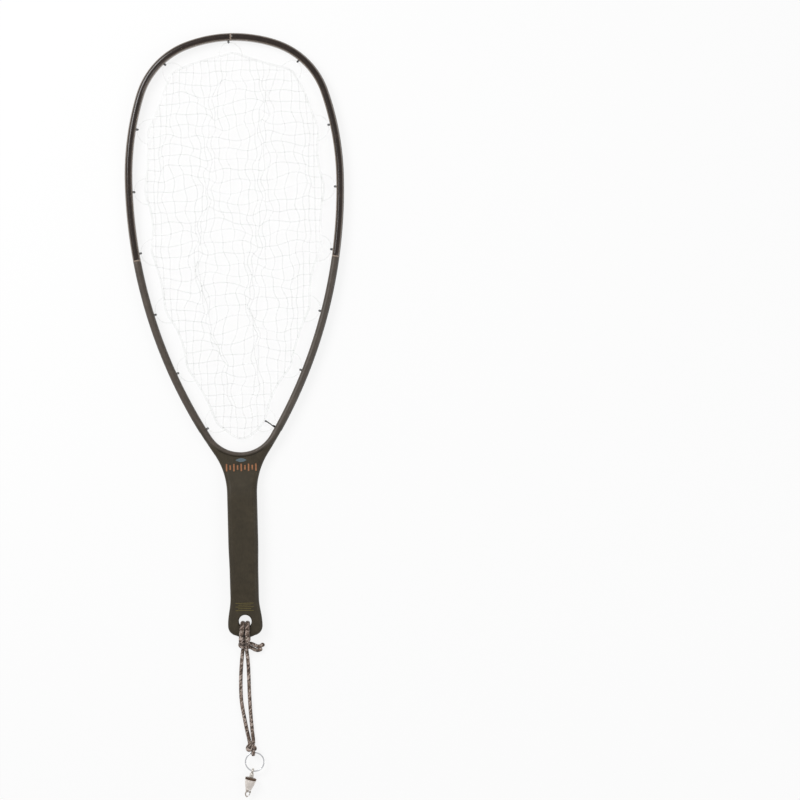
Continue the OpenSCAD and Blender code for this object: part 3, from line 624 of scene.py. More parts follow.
collar_ribs = follow_recipe(
    "collar_ribs", collar_ribs_recipe(), empty_base(), dark_collar,
    Count=44, Radius=(BARREL_R - 0.3) * MM, Rib_Length=1.5 * MM, Rib_Radius=0.3 * MM)
for corner in collar_ribs.data.vertices:
    x, y, z = corner.co
    corner.co = (x, -z - (NECK_TO + COLLAR_TO) / 2 * MM, y)
collar = turned_piece("collar", eased([
    (NECK_TO + 0.1, POST_R + 0.05), (NECK_TO, 4.4), (NECK_TO + 0.15, 5.3), (NECK_TO + 0.5, BARREL_R - 0.35),
    (COLLAR_TO - 0.5, BARREL_R - 0.35), (COLLAR_TO - 0.35, BARREL_R), (COLLAR_TO, BARREL_R),
    (COLLAR_TO, POST_R + 0.05)], 0.15), 96)
swivel_collar = put(joined("collar_band", collar, collar_ribs), CLIP_AT, CLIP_TURN)
seat(swivel_collar, "snap", "dark_collar", dark_collar, "swivel_collar")

barrel = turned_piece("barrel", eased([
    (COLLAR_TO + 0.02, POST_R), (COLLAR_TO + 0.02, BARREL_R - 0.1), (COLLAR_TO + 0.9, BARREL_R - 0.05),
    (COLLAR_TO + 1.1, BARREL_R - 0.4), (COLLAR_TO + 1.5, BARREL_R - 0.45),
    (COLLAR_TO + 1.8, BARREL_R - 0.3),
    (15.5, 4.95), (19.2, 3.75), (19.5, 3.45), (20.0, 3.45), (20.3, 3.6), (BARREL_TO - 0.1, BARREL_END_R),
    (BARREL_TO, 0.3)], 0.3), 96)
put(barrel, CLIP_AT, CLIP_TURN)
seat(barrel, "snap", "pale_metal", pale_metal, "snap_barrel")

hook_path = smooth_route([
    (-0.9, -(BARREL_TO + 0.6), 0), (-1.5, -(BARREL_TO + 2.0), 0),
    (-HOOK_W / 2 + HOOK_WIRE_R, -(BARREL_TO + 4.1), 0), (-1.5, -(BARREL_TO + 5.9), 0),
    (-0.1, -(HOOK_TO - HOOK_WIRE_R), 0), (1.0, -(HOOK_TO - 2 * HOOK_WIRE_R), 0)], 0.2)
hook_taper = HOOK_WIRE_R * np.interp(np.linspace(0, 1, len(hook_path)), [0, 0.35, 1], [1.05, 1.0, 0.82])
hook_root = turned_piece("hook_root", eased([
    (BARREL_TO - 0.2, 1.0), (BARREL_TO, 2.8), (BARREL_TO + 0.5, 2.85), (BARREL_TO + 1.3, 2.35),
    (BARREL_TO + 2.3, 1.9), (BARREL_TO + 2.6, 0.3)]), 48)
for corner in hook_root.data.vertices:
    corner.co.x = min(corner.co.x, 0.9 * MM)
snap_hook = put(joined("hook", hook_root, tube("hook_wire", hook_path, hook_taper, 20)), CLIP_AT, CLIP_TURN)
seat(snap_hook, "snap", "pale_metal", hook_metal, "snap_hook")

gate_path = smooth_route([
    GATE_PIVOT, (GATE_PIVOT[0] + 0.12, GATE_PIVOT[1] - 1.8, 0), (HOOK_W / 2 - 0.7, -(HOOK_TO - 2.9), 0)],
    0.15)
gate_knuckle = turned_piece("gate_knuckle",
    eased([(-0.8, 0.2), (-0.8, 1.1), (0.8, 1.1), (0.8, 0.2)], 0.15), 40)
gate_wire = tube("gate_wire", gate_path, 0.55, 16)
for corner in gate_knuckle.data.vertices:
    x, y, z = corner.co
    corner.co = (x + GATE_PIVOT[0] * MM, z + GATE_PIVOT[1] * MM, -y)
gate = put(joined("gate", gate_knuckle, gate_wire), CLIP_AT, CLIP_TURN)
seat(gate, "gate", "nickel", nickel, "snap_gate")

pin = turned_piece("pivot_pin", eased([(-1.45, 0.1), (-1.4, 0.5), (-1.2, 0.62), (-1.1, 0.5), (1.1, 0.5),
    (1.2, 0.62),
                                       (1.4, 0.5), (1.45, 0.1)], 0.08), 32)
for corner in pin.data.vertices:
    x, y, z = corner.co
    corner.co = (x + GATE_PIVOT[0] * MM, z + GATE_PIVOT[1] * MM, -y)
put(pin, CLIP_AT, CLIP_TURN)
seat(pin, "snap", "dark_collar", dark_collar, "gate_pin")


# ---- Hoop tubes ----
# Two bent tubes of glossy lacquered composite, one for each side, from the tip to the joints.
# Each is a flattened tube with a groove along its outside for the lacing cord.
HOOP_W, HOOP_H = 8.0, 12.6
MID_Z = HOOP_H / 2
GROOVE_AT, GROOVE_R = 3.9, 1.0
BOND_HALF = 0.8
JOINT_AT = 309.0
CROWN_R, CROWN_SWEEP = 146.0, 19.5
SHOULDER_R, SHOULDER_SWEEP = 84.0, 52.7
UPPER_R, LOWER_R, YOKE_R = 306.0, 540.0, 38.0
HANDLE_L = 202.5
shoulder_end = CROWN_SWEEP + SHOULDER_SWEEP


def toward(degrees):
    return np.array([math.sin(math.radians(degrees)), math.cos(math.radians(degrees))])


from_crown = (CROWN_R - SHOULDER_R) * toward(CROWN_SWEEP)
upper_from = from_crown - (UPPER_R - SHOULDER_R) * toward(shoulder_end)
lower_from = upper_from - np.array([LOWER_R - UPPER_R, 0])
yoke_reach = LOWER_R - HOOP_W / 2 - YOKE_R
yoke_drop = math.sqrt(yoke_reach**2 - lower_from[0] ** 2)
yoke_angle = math.degrees(math.acos(-lower_from[0] / yoke_reach))
tip_y = (CROWN_R + HOOP_W / 2 - lower_from[1] + yoke_drop + YOKE_R + HANDLE_L) / 2
crown_c = np.array([0, tip_y - HOOP_W / 2 - CROWN_R])
lower_c = crown_c + lower_from
yoke_c = np.array([0, lower_c[1] - yoke_drop])
crown_l = math.radians(CROWN_SWEEP) * CROWN_R
shoulder_l = crown_l + math.radians(SHOULDER_SWEEP) * SHOULDER_R
upper_l = shoulder_l + math.radians(90 - shoulder_end) * UPPER_R
flank_l = upper_l + math.radians(yoke_angle) * LOWER_R


def station(s):
    """Point on the hoop's centreline at a length from the tip down the right side, and the way out from it."""
    if s < crown_l:
        c, r, a = crown_c, CROWN_R, math.pi / 2 - s / CROWN_R
    elif s < shoulder_l:
        c, r, a = crown_c + from_crown, SHOULDER_R, math.radians(90 - CROWN_SWEEP) - (s - crown_l) / SHOULDER_R
    elif s < upper_l:
        c, r, a = crown_c + upper_from, UPPER_R, (upper_l - s) / UPPER_R
    else:
        c, r, a = lower_c, LOWER_R, (upper_l - s) / LOWER_R
    out = np.array([math.cos(a), math.sin(a)])
    return c + r * out, out


# The groove's lips are set in from the side by the first and stand clear of the groove by the second.
GROOVE_LIP = (0.03, 0.12)


def tube_section(w, h):
    """Outline of the tube, round at front and back, with the groove in its outer side."""
    r = w / 2
    rise = (h - w) / 2
    points = []
    start = math.asin(0.93)
    for a in np.linspace(-start, start, 9):
        points.append((GROOVE_AT - GROOVE_R * math.cos(a), GROOVE_R * math.sin(a)))
    points.append((r - GROOVE_LIP[0], GROOVE_R + GROOVE_LIP[1]))
    points.append((r, rise * 0.6))
    for a in np.linspace(0, math.pi, 21):
        points.append((r * math.cos(a), rise + r * math.sin(a)))
    points += [(-r, rise * 0.5), (-r, 0), (-r, -rise * 0.5)]
    for a in np.linspace(math.pi, 2 * math.pi, 21):
        points.append((r * math.cos(a), -rise + r * math.sin(a)))
    points.append((r, -rise * 0.6))
    points.append((r - GROOVE_LIP[0], -GROOVE_R - GROOVE_LIP[1]))
    return np.array(points)


def swept(name, centres, outs, sections, mirrored=False):
    """A closed sweep of a section along the hoop: X of the section points outwards, Y is height."""
    rings, along = [], [0.0]
    for centre, out, section in zip(centres, outs, sections):
        ring = np.column_stack([centre[None] + section[:, :1] * out[None], MID_Z + section[:, 1]])
        if mirrored:
            ring[:, 0] *= -1
        rings.append(ring)
    for a, b in zip(centres, centres[1:]):
        along.append(along[-1] + float(np.linalg.norm(b - a)))
    if not mirrored:
        rings = [r[::-1] for r in rings]
    return add_piece(name, *closed_rings(rings, along))


def composite_finish(name, low, high, fleck, rough, coat, coat_rough, weave, shine, wear_tone_and_sheen=None):
    """Moulded fibre composite: dark resin with slanted fibres and faint flecks. An optional function can
    change the colour further: painted sheen on the hoop's flanks, the handle's tone round the bow's yoke.
    """
    material, tree, shader = new_finish(name, Specular_IOR_Level=shine, Coat_Weight=coat,
        Coat_Roughness=coat_rough)
    uv = add_node(tree, "ShaderNodeSeparateXYZ", {0: add_node(tree, "ShaderNodeTexCoord").outputs["UV"]})
    slant = sums(tree, "ADD", sums(tree, "MULTIPLY", uv.outputs[0], weave),
        sums(tree, "MULTIPLY", uv.outputs[1], 12.0))
    fibre = sums(tree, "ABSOLUTE", sums(tree, "SINE", sums(tree, "MULTIPLY", slant, math.pi)))
    cloud = mottle(tree, 90, 5.0, rough=0.6)
    fine = mottle(tree, 900, 4.0, (1, 0.35, 1))
    tone = sums(tree, "ADD", sums(tree, "MULTIPLY", cloud, 0.5),
        sums(tree, "ADD", sums(tree, "MULTIPLY", fine, 0.38),
                                                                      sums(tree, "MULTIPLY", fibre, 0.12)))
    base = ramp(tree, tone, [(0.34, linear(*low)), (0.62, linear(*high)), (0.78, linear(*fleck))])
    tree.links.new(wear_tone_and_sheen(tree, uv, base) if wear_tone_and_sheen else base, shader.inputs["Base Color"])
    tree.links.new(
        ramp(tree, mottle(tree, 160, 4.0), [(0.3, grey(rough - 0.05)), (0.75, grey(rough + 0.09))]),
        shader.inputs["Roughness"])
    height = sums(tree, "ADD", sums(tree, "MULTIPLY", fibre, 0.35), fine)
    relief_on(tree, shader, height, 0.00003, 0.35)
    return material


# Painted sheen, measured from the tube's middle height: beyond CORE_TO it is fully dark, and within FLANK_FROM
# fully pale.
CORE_TO, FLANK_FROM, FLANK_SHEEN_SHARE = 5.9, 4.3, 0.75


def painted_sheen_flanks(tree, uv, base):
    """Painted sheen: the tube's two sides, seen from above, are painted paler and browner, as light would
    catch the glossy round tube there.
    """
    place = add_node(tree, "ShaderNodeSeparateXYZ",
        {0: add_node(tree, "ShaderNodeTexCoord").outputs["Object"]})
    from_middle = sums(tree, "ABSOLUTE", sums(tree, "SUBTRACT", place.outputs[2], MID_Z * MM))
    side = add_node(tree, "ShaderNodeMapRange", {
        0: from_middle, 1: CORE_TO * MM, 2: FLANK_FROM * MM, 3: 0.0, 4: FLANK_SHEEN_SHARE},
        interpolation_type="SMOOTHSTEP")
    # Painted sheen: the flanks are mixed towards this pale brown.
    return mix_colour(tree, side.outputs[0], base, linear(134, 120, 107))


# Along the bow the tone changes between these Y values, in metres; round it, between these cosines.
YOKE_TONE_FROM, YOKE_TONE_TO = -0.082, -0.104
OUTSIDE_FROM, OUTSIDE_TO, OUTSIDE_SHARE = -0.85, -0.4, 0.9


def dark_outside(tree, uv, base):
    """Round the yoke the bow's outer side takes the handle's darker tone, so that the bead looks thin."""
    place = add_node(tree, "ShaderNodeSeparateXYZ",
        {0: add_node(tree, "ShaderNodeTexCoord").outputs["Object"]})
    low = add_node(tree, "ShaderNodeMapRange", {
        0: place.outputs[1], 1: YOKE_TONE_FROM, 2: YOKE_TONE_TO, 3: 0.0, 4: 1.0},
        interpolation_type="SMOOTHSTEP")
    outer = add_node(tree, "ShaderNodeMapRange", {
        0: sums(tree, "COSINE", sums(tree, "MULTIPLY", uv.outputs[1], 2 * math.pi)),
        1: OUTSIDE_FROM, 2: OUTSIDE_TO, 3: 0.0, 4: OUTSIDE_SHARE}, interpolation_type="SMOOTHSTEP")
    share = sums(tree, "MULTIPLY", low.outputs[0], outer.outputs[0])
    return mix_colour(tree, share, base, linear(56, 49, 36))


# The gloss tube's pale flanks are painted sheen.
gloss_tube = composite_finish(
    "gloss_tube", (28, 19, 14), (46, 34, 27), (78, 63, 52), 0.26, 0.45, 0.07, 0.5, 0.3, painted_sheen_flanks)
matte_composite = composite_finish(
    "matte_composite", (48, 41, 28), (64, 56, 41), (82, 72, 56), 0.56, 0.1, 0.35, 0.5, 0.3)
bow_composite = composite_finish(
    "bow_composite", (64, 56, 48), (84, 74, 65), (106, 95, 84), 0.5, 0.12, 0.3, 0.5, 0.45, dark_outside)

HOOP_STEP = 2.0
full_section = tube_section(HOOP_W, HOOP_H)


def run_of(start, end, step=HOOP_STEP):
    return np.linspace(start, end, max(2, int(round((end - start) / step))) + 1)


for hand in ("right", "left"):
    lengths = run_of(BOND_HALF, JOINT_AT - BOND_HALF)
    lengths = np.concatenate([[lengths[0], lengths[0] + 0.25], lengths[1:-1],
        [lengths[-1] - 0.25, lengths[-1]]])
    inset = np.where((lengths == lengths[0]) | (lengths == lengths[-1]), 0.12, 0.0)
    places = [station(s) for s in lengths]
    tube_piece = swept(
        "hoop_" + hand, [p[0] for p in places], [p[1] for p in places],
        [full_section * (1 - 2 * t / HOOP_W) for t in inset], hand == "left")
    seat(tube_piece, "net_frame", "gloss_tube", gloss_tube, "hoop_tube_" + hand)


# ---- Lower bow ----
# The two arms below the joints and the bead round the inside of the yoke, in one matte moulding.
# The tubes are plugged to it over short composite ferrules; a line of filler shows at each joint.
BEAD_W = 5.5
NARROWING_STEPS = 13
bow_lengths = run_of(JOINT_AT + BOND_HALF, flank_l, 2.0)
right_places = [station(s) for s in bow_lengths]
inner_line = [p - HOOP_W / 2 * out for p, out in right_places]
bow_outs = [out for p, out in right_places]
bow_widths = list(np.full(len(inner_line), HOOP_W))
for i, a in enumerate(np.radians(np.linspace(-yoke_angle - 1.5, -90, 26))):
    out = np.array([math.cos(a), math.sin(a)])
    inner_line.append(yoke_c + YOKE_R * out)
    bow_outs.append(out)
    narrowing = (1 + math.cos(math.pi * min(1, (i + 1) / NARROWING_STEPS))) / 2
    bow_widths.append(BEAD_W + (HOOP_W - BEAD_W) * narrowing)
inner_line += [p * np.array([-1, 1]) for p in inner_line[-2::-1]]
bow_outs += [p * np.array([-1, 1]) for p in bow_outs[-2::-1]]
bow_widths += bow_widths[-2::-1]
bow_sections, bow_centres = [], []
for i, (inner, out, w) in enumerate(zip(inner_line, bow_outs, bow_widths)):
    at_end = i in (0, len(inner_line) - 1)
    section = full_section.copy()
    section[:, 0] = (section[:, 0] + HOOP_W / 2) * (w / HOOP_W)
    if at_end:
        section = (section - np.array([w / 2, 0])) * (1 - 0.24 / HOOP_W) + np.array([w / 2, 0])
    bow_centres.append(inner)
    bow_sections.append(section)
lower_bow = swept("bow", bow_centres, bow_outs, bow_sections)
seat(lower_bow, "net_frame", "matte_composite", bow_composite, "lower_bow")

filler_finish, filler_tree, filler_shader = new_finish("bond_filler", Roughness=0.5, Specular_IOR_Level=0.4)
filler_tree.links.new(
    ramp(filler_tree, mottle(filler_tree, 700, 4.0),
    [(0.35, linear(120, 105, 92)), (0.65, linear(166, 150, 136))]),
    filler_shader.inputs["Base Color"])
relief_on(filler_tree, filler_shader, mottle(filler_tree, 2500, 3.0), 0.00005, 0.6)
ferrule_finish, ferrule_tree, ferrule_shader = new_finish("ferrule_plug", Roughness=0.45)
ferrule_tree.links.new(
    ramp(ferrule_tree, mottle(ferrule_tree, 300, 3.0, (6, 1, 1)),
    [(0.3, linear(70, 70, 72)), (0.7, linear(104, 104, 107))]),
    ferrule_shader.inputs["Base Color"])


def paint_nodes(finish, slot, *names):
    """Gives CAD nodes that stay their better material."""
    for name in names:
        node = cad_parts[name]
        node.data.materials.clear()
        node.data.materials.append(finish)


paint_nodes(filler_finish, "bond_line", "bond_line_left", "bond_line_right", "bond_line_tip")
paint_nodes(ferrule_finish, "ferrule_composite", "ferrule_left", "ferrule_right", "ferrule_tip")


# ---- Lacing ----
# Black waxed cord lies in the groove round the hoop's outside. At each station a loop of it goes
# through the tube and holds the bag's rim; the right end leaves its last hole as a loose tail.
LACING_R = 0.8
TIP_STITCH_AT = -3.0
STATIONS = [82.0, 164.0, 233.0, 302.0, 371.0, 440.0, 509.0]
STITCH_REACH = 2.4
wax_finish, wax_tree, wax_shader = new_finish("waxed_cord", Roughness=0.42, Specular_IOR_Level=0.45)
wax_tree.links.new(
    ramp(wax_tree, mottle(wax_tree, 900, 4.0),
    [(0.35, linear(22, 20, 20)), (0.62, linear(40, 37, 36)), (0.75, linear(60, 57, 54))]),
    wax_shader.inputs["Base Color"])
relief_on(wax_tree, wax_shader, mottle(wax_tree, 3500, 3.0), 0.00006, 0.6)


def laid_cord_recipe():
    """Three strands twisted together, along each line of the base mesh."""
    tree, sizes = new_recipe("laid_cord", Cord_Radius=0.0008, Lay=0.0045, Step=0.0006)
    line = add_node(tree, "GeometryNodeMeshToCurve", {0: sizes["Geometry"]})
    even = add_node(tree, "GeometryNodeResampleCurve",
        {"Curve": line.outputs[0], "Length": sizes["Step"]}, mode="LENGTH")
    run = add_node(tree, "GeometryNodeSplineParameter").outputs["Length"]
    twist = sums(tree, "MULTIPLY", sums(tree, "DIVIDE", run, sizes["Lay"]), 2 * math.pi)
    tilted = add_node(tree, "GeometryNodeSetCurveTilt", {"Curve": even.outputs[0], "Tilt": twist})
    star = add_node(tree, "GeometryNodeCurveStar", {
        "Points": 3, "Inner Radius": sums(tree, "MULTIPLY", sizes["Cord Radius"], 0.62),
        "Outer Radius": sizes["Cord Radius"]})
    rounded = add_node(tree, "GeometryNodeFilletCurve", {
        "Curve": star.outputs[0], "Radius": sums(tree, "MULTIPLY", sizes["Cord Radius"], 0.5),
        "Count": 2}, mode="POLY")
    skin = add_node(tree, "GeometryNodeCurveToMesh", {
        "Curve": tilted.outputs[0], "Profile Curve": rounded.outputs[0], "Fill Caps": True})
    end_recipe(tree, skin.outputs[0], sizes["Finish"])
    return tree


def line_base(name, *lines):
    """A base mesh of open lines, each a list of points in millimetres."""
    points, edges = [], []
    for line in lines:
        edges += [(len(points) + i, len(points) + i + 1) for i in range(len(line) - 1)]
        points += [tuple(p) for p in line]
    mesh = bpy.data.meshes.new(name)
    mesh.from_pydata((np.array(points) * MM).tolist(), edges, [])
    base = bpy.data.objects.new(name, mesh)
    bpy.context.scene.collection.objects.link(base)
    return base


groove_line = [station(s) for s in run_of(0, STATIONS[-1], 2.0)]
right_line = [(*(p + GROOVE_AT * out), MID_Z) for p, out in groove_line]
whole_line = [(-x, y, z) for x, y, z in right_line[:0:-1]] + right_line
laid_cord = laid_cord_recipe()
lacing_cord = follow_recipe(
    "lacing_run", laid_cord, line_base("lacing_line", whole_line), wax_finish,
    Cord_Radius=(LACING_R + 0.05) * MM, Lay=4.5 * MM, Step=0.7 * MM)
seat(lacing_cord, "net_frame", "lacing", None, "lacing_cord")

stitch_places = []
for s, way in [(TIP_STITCH_AT, 1)] + [(s, way) for s in STATIONS for way in (1, -1)]:
    p, out = station(s)
    stitch_places.append((p * (way, 1), out * (way, 1)))


def stitch_recipe():
    """A loop of cord at each point, turned the way the point says, with a small lean of its own."""
    tree, sizes = new_recipe("stitches", Reach=0.0045, Wall=0.004, Loop_Width=0.0011, Cord_Radius=0.0005)
    long = sums(tree, "ADD", sizes["Reach"], sizes["Wall"])
    flat = add_node(tree, "GeometryNodeCurvePrimitiveQuadrilateral",
        {"Width": long, "Height": sizes["Loop Width"]})
    bend = sums(tree, "MULTIPLY", sizes["Loop Width"], 0.49)
    loop = add_node(tree, "GeometryNodeFilletCurve",
        {"Curve": flat.outputs[0], "Radius": bend, "Count": 8}, mode="POLY")
    fine = add_node(tree, "GeometryNodeResampleCurve", {"Curve": loop.outputs[0], "Length": 0.0003},
        mode="LENGTH")
    section = add_node(tree, "GeometryNodeCurvePrimitiveCircle",
        {"Resolution": 12, "Radius": sizes["Cord Radius"]})
    skin = add_node(tree, "GeometryNodeCurveToMesh",
        {"Curve": fine.outputs[0], "Profile Curve": section.outputs[0]})
    middle = sums(tree, "MULTIPLY", sums(tree, "SUBTRACT", sizes["Wall"], sizes["Reach"]), 0.5)
    inward = add_node(tree, "ShaderNodeCombineXYZ", {0: sums(tree, "SUBTRACT", middle, sizes["Wall"])})
    placed = add_node(tree, "GeometryNodeTransform",
        {"Geometry": skin.outputs[0], "Translation": inward.outputs[0]})
    lean = add_node(tree, "FunctionNodeRandomValue", {2: -0.12, 3: 0.12, "Seed": 4},
        data_type="FLOAT").outputs[1]
    way = add_node(tree, "GeometryNodeInputNamedAttribute", {"Name": "way"}, data_type="FLOAT").outputs[0]
    turned = add_node(tree, "ShaderNodeCombineXYZ", {0: lean, 1: lean, 2: sums(tree, "ADD", way, lean)})
    spin = add_node(tree, "FunctionNodeEulerToRotation", {0: turned.outputs[0]})
    each = add_node(tree, "GeometryNodeInstanceOnPoints", {
        "Points": sizes["Geometry"], "Instance": placed.outputs[0], "Rotation": spin.outputs[0]})
    end_recipe(tree, each.outputs[0], sizes["Finish"])
    return tree


stitch_base = add_piece("stitch_points", [(*p, MID_Z) for p, out in stitch_places], [])
ways = stitch_base.data.attributes.new("way", "FLOAT", "POINT")
ways.data.foreach_set("value", [math.atan2(out[1], out[0]) for p, out in stitch_places])
stitches = follow_recipe(
    "stitch_loops", stitch_recipe(), stitch_base, wax_finish,
    Reach=(STITCH_REACH + HOOP_W / 2) * MM, Wall=0.0 * MM, Loop_Width=1.2 * MM, Cord_Radius=0.52 * MM)
seat(stitches, "net_frame", "lacing", None, "lacing_stitches")

tail_at, tail_out = station(STATIONS[-1])
tail_start = tail_at - (HOOP_W / 2 + 0.6) * tail_out
TAIL_Z = 8.7
tail_route = [
    (*(tail_start + 0.8 * tail_out), 7.6), (tail_start[0] - 1.6, tail_start[1] + 1.2, TAIL_Z),
    (tail_start[0] - 5, tail_start[1] + 4, TAIL_Z + 0.4),
    (tail_start[0] - 9, tail_start[1] + 6.6, TAIL_Z + 0.4)]
tail_path = smooth_route(tail_route, 0.25)
melted = np.clip((np.arange(len(tail_path)) - len(tail_path) + 9) / 8, 0, 1)
lacing_tail = tube("lacing_end", tail_path, 0.62 + 0.5 * melted * melted, 20,
                   relief=lambda s, a: 1 + 0.07 * np.cos(3 * a + 2 * np.pi * s / 3.4))
seat(lacing_tail, "net_frame", "lacing", wax_finish, "lacing_tail")


# ---- Handle ----
# Two moulded composite halves over a foam core, glued round the yoke and lacquered matte.
# The edges are well rounded; the lanyard hole near the butt has a rounded rim.
SEAT_LAP = 0.42
butt_y = -tip_y
yoke_y = yoke_c[1] - YOKE_R
GRIP_HALF, WAIST_HALF, BUTT_HALF = 16.2, 15.5, 18.8
GRIP_H, BUTT_H, BUTT_LIFT = 16.0, 8.4, 4.4
WEB_TOP = HOOP_H - 1.2
NECK_R = 80.0
HOLE_R = 7.0
CORNER_R, BUTT_CROWN = 10.5, 2.4
EDGE_R, SEAT_EDGE_R, HOLE_EDGE_R = 5.2, 0.3, 1.7
SEAM_W, SEAM_DEPTH = 0.16, 0.12
neck_x = GRIP_HALF + NECK_R
neck_y = lower_c[1] - math.sqrt((LOWER_R + HOOP_W / 2 + NECK_R) ** 2 - (neck_x - lower_c[0]) ** 2)
neck_angle = math.atan2(lower_c[1] - neck_y, neck_x - lower_c[0])


def ease(a, b, t):
    return a + (b - a) * (1 - np.cos(np.pi * np.clip(t, 0, 1))) / 2


def handle_half(y):
    d = y - butt_y
    if y > neck_y:
        return neck_x - math.sqrt(NECK_R**2 - (y - neck_y) ** 2)
    if d > 68:
        return float(ease(WAIST_HALF, GRIP_HALF, (d - 68) / 37))
    return float(ease(BUTT_HALF, WAIST_HALF, (d - 14) / 30))


def front_z(y):
    d = y - butt_y
    return np.where(d > 150, ease(GRIP_H, WEB_TOP, (d - 150) / 40),
        ease(BUTT_LIFT + BUTT_H, GRIP_H, (d - 26) / 38))


def back_z(y):
    return ease(BUTT_LIFT, 0.0, (y - butt_y - 26) / 38)


GRIP_FROM = yoke_y - BEAD_W - 24
BUTT_FROM = butt_y + 34
ACROSS = 44
SEAT_R = YOKE_R + BEAD_W - SEAT_LAP
columns = -np.cos(np.pi * np.arange(ACROSS + 1) / ACROSS)
horn_angles = np.radians(np.linspace(-yoke_angle, -math.degrees(neck_angle), 6))
horn_side = [
    tuple(lower_c + (LOWER_R + HOOP_W / 2) * np.array([math.cos(a), math.sin(a)]))
    for a in horn_angles]
neck_top_y = horn_side[-1][1]
side_line = horn_side + [(handle_half(y), y) for y in np.linspace(neck_top_y, GRIP_FROM, 30)[1:]]


def spaced(line, shares):
    """Points of an open line at shares of its length."""
    line = np.array(line, float)
    run = np.concatenate([[0], np.cumsum(np.linalg.norm(np.diff(line, axis=0), axis=1))])
    return np.stack([np.interp(np.asarray(shares) * run[-1], run, line[:, k]) for k in range(2)], 1)


seat_angles = np.radians(np.linspace(-yoke_angle - 0.2, -90, 40))
half_seat = [horn_side[0]] + [
    tuple(yoke_c + SEAT_R * np.array([math.cos(a), math.sin(a)])) for a in seat_angles]
seat_line = half_seat + [(-x, y) for x, y in half_seat[-2::-1]]
ROWS_NECK = 44
row_shares = np.concatenate([[0, 0.004, 0.009, 0.016, 0.026], np.linspace(0.045, 1, ROWS_NECK)])
top_row = spaced(seat_line, (1 - columns) / 2)
low_row = np.stack([columns * handle_half(GRIP_FROM), np.full(ACROSS + 1, GRIP_FROM)], 1)
right_side = spaced(side_line, row_shares)
left_side = right_side * (-1, 1)
grid = []
for share, right, left in zip(row_shares, right_side, left_side):
    u = (columns[:, None] + 1) / 2
    bed = (1 - share) * top_row + share * low_row
    ends = (1 - u) * left + u * right
    corner = (1 - share) * ((1 - u) * top_row[0] + u * top_row[-1]) + share * ((1 - u) * low_row[0]
        + u * low_row[-1])
    grid.append(bed + ends - corner)
for y in np.linspace(GRIP_FROM, BUTT_FROM, 66)[1:]:
    grid.append(np.stack([columns * handle_half(y), np.full(ACROSS + 1, y)], 1))
grid = np.array(grid)

butt_side = [(handle_half(y), y) for y in np.linspace(BUTT_FROM, butt_y + CORNER_R + BUTT_CROWN, 16)]
corner_c = np.array([BUTT_HALF - CORNER_R, butt_y + CORNER_R + BUTT_CROWN])
butt_side += [
    tuple(corner_c + CORNER_R * np.array([math.cos(a), math.sin(a)]))
    for a in np.radians(np.linspace(-4, -80, 16))]
butt_side += [(butt_side[-1][0] * k, butt_y + (butt_side[-1][1] - butt_y) * k**2)
    for k in np.linspace(0.93, 0, 10)]
rim = [tuple(p) for p in grid[-1]] + butt_side[1:] + [(-x, y) for x, y in butt_side[-2:0:-1]]
rim = np.array(rim)
spoke = unit(rim - np.array(HOLE))
STEPS_BUTT = 26
k = np.linspace(0, 1, STEPS_BUTT + 1)
k = k - 0.16 * np.sin(2 * np.pi * k)
butt_rings = [(1 - t) * (np.array(HOLE) + HOLE_R * spoke) + t * rim for t in k]

outline = np.array(side_line + [
    (handle_half(y), y) for y in np.linspace(GRIP_FROM, BUTT_FROM, 80)[1:-1]] + butt_side)
outline = np.vstack([outline, outline[::-1] * (-1, 1)])
seat_edge = np.array(seat_line)


def distance_to(points, line):
    """Shortest distance from each point to a line of points."""
    best = np.full(len(points), 1e9)
    for a, b in zip(line, line[1:]):
        run = b - a
        t = np.clip(((points - a) @ run) / max(run @ run, 1e-12), 0, 1)
        best = np.minimum(best, np.linalg.norm(points - a - t[:, None] * run, axis=1))
    return best


def rounding(distance, radius):
    """How far a rounded edge falls at a distance from it."""
    d = np.clip(distance / radius, 0, 1)
    return radius * (1 - np.sqrt(np.clip(1 - (1 - d) ** 2, 0, 1)))


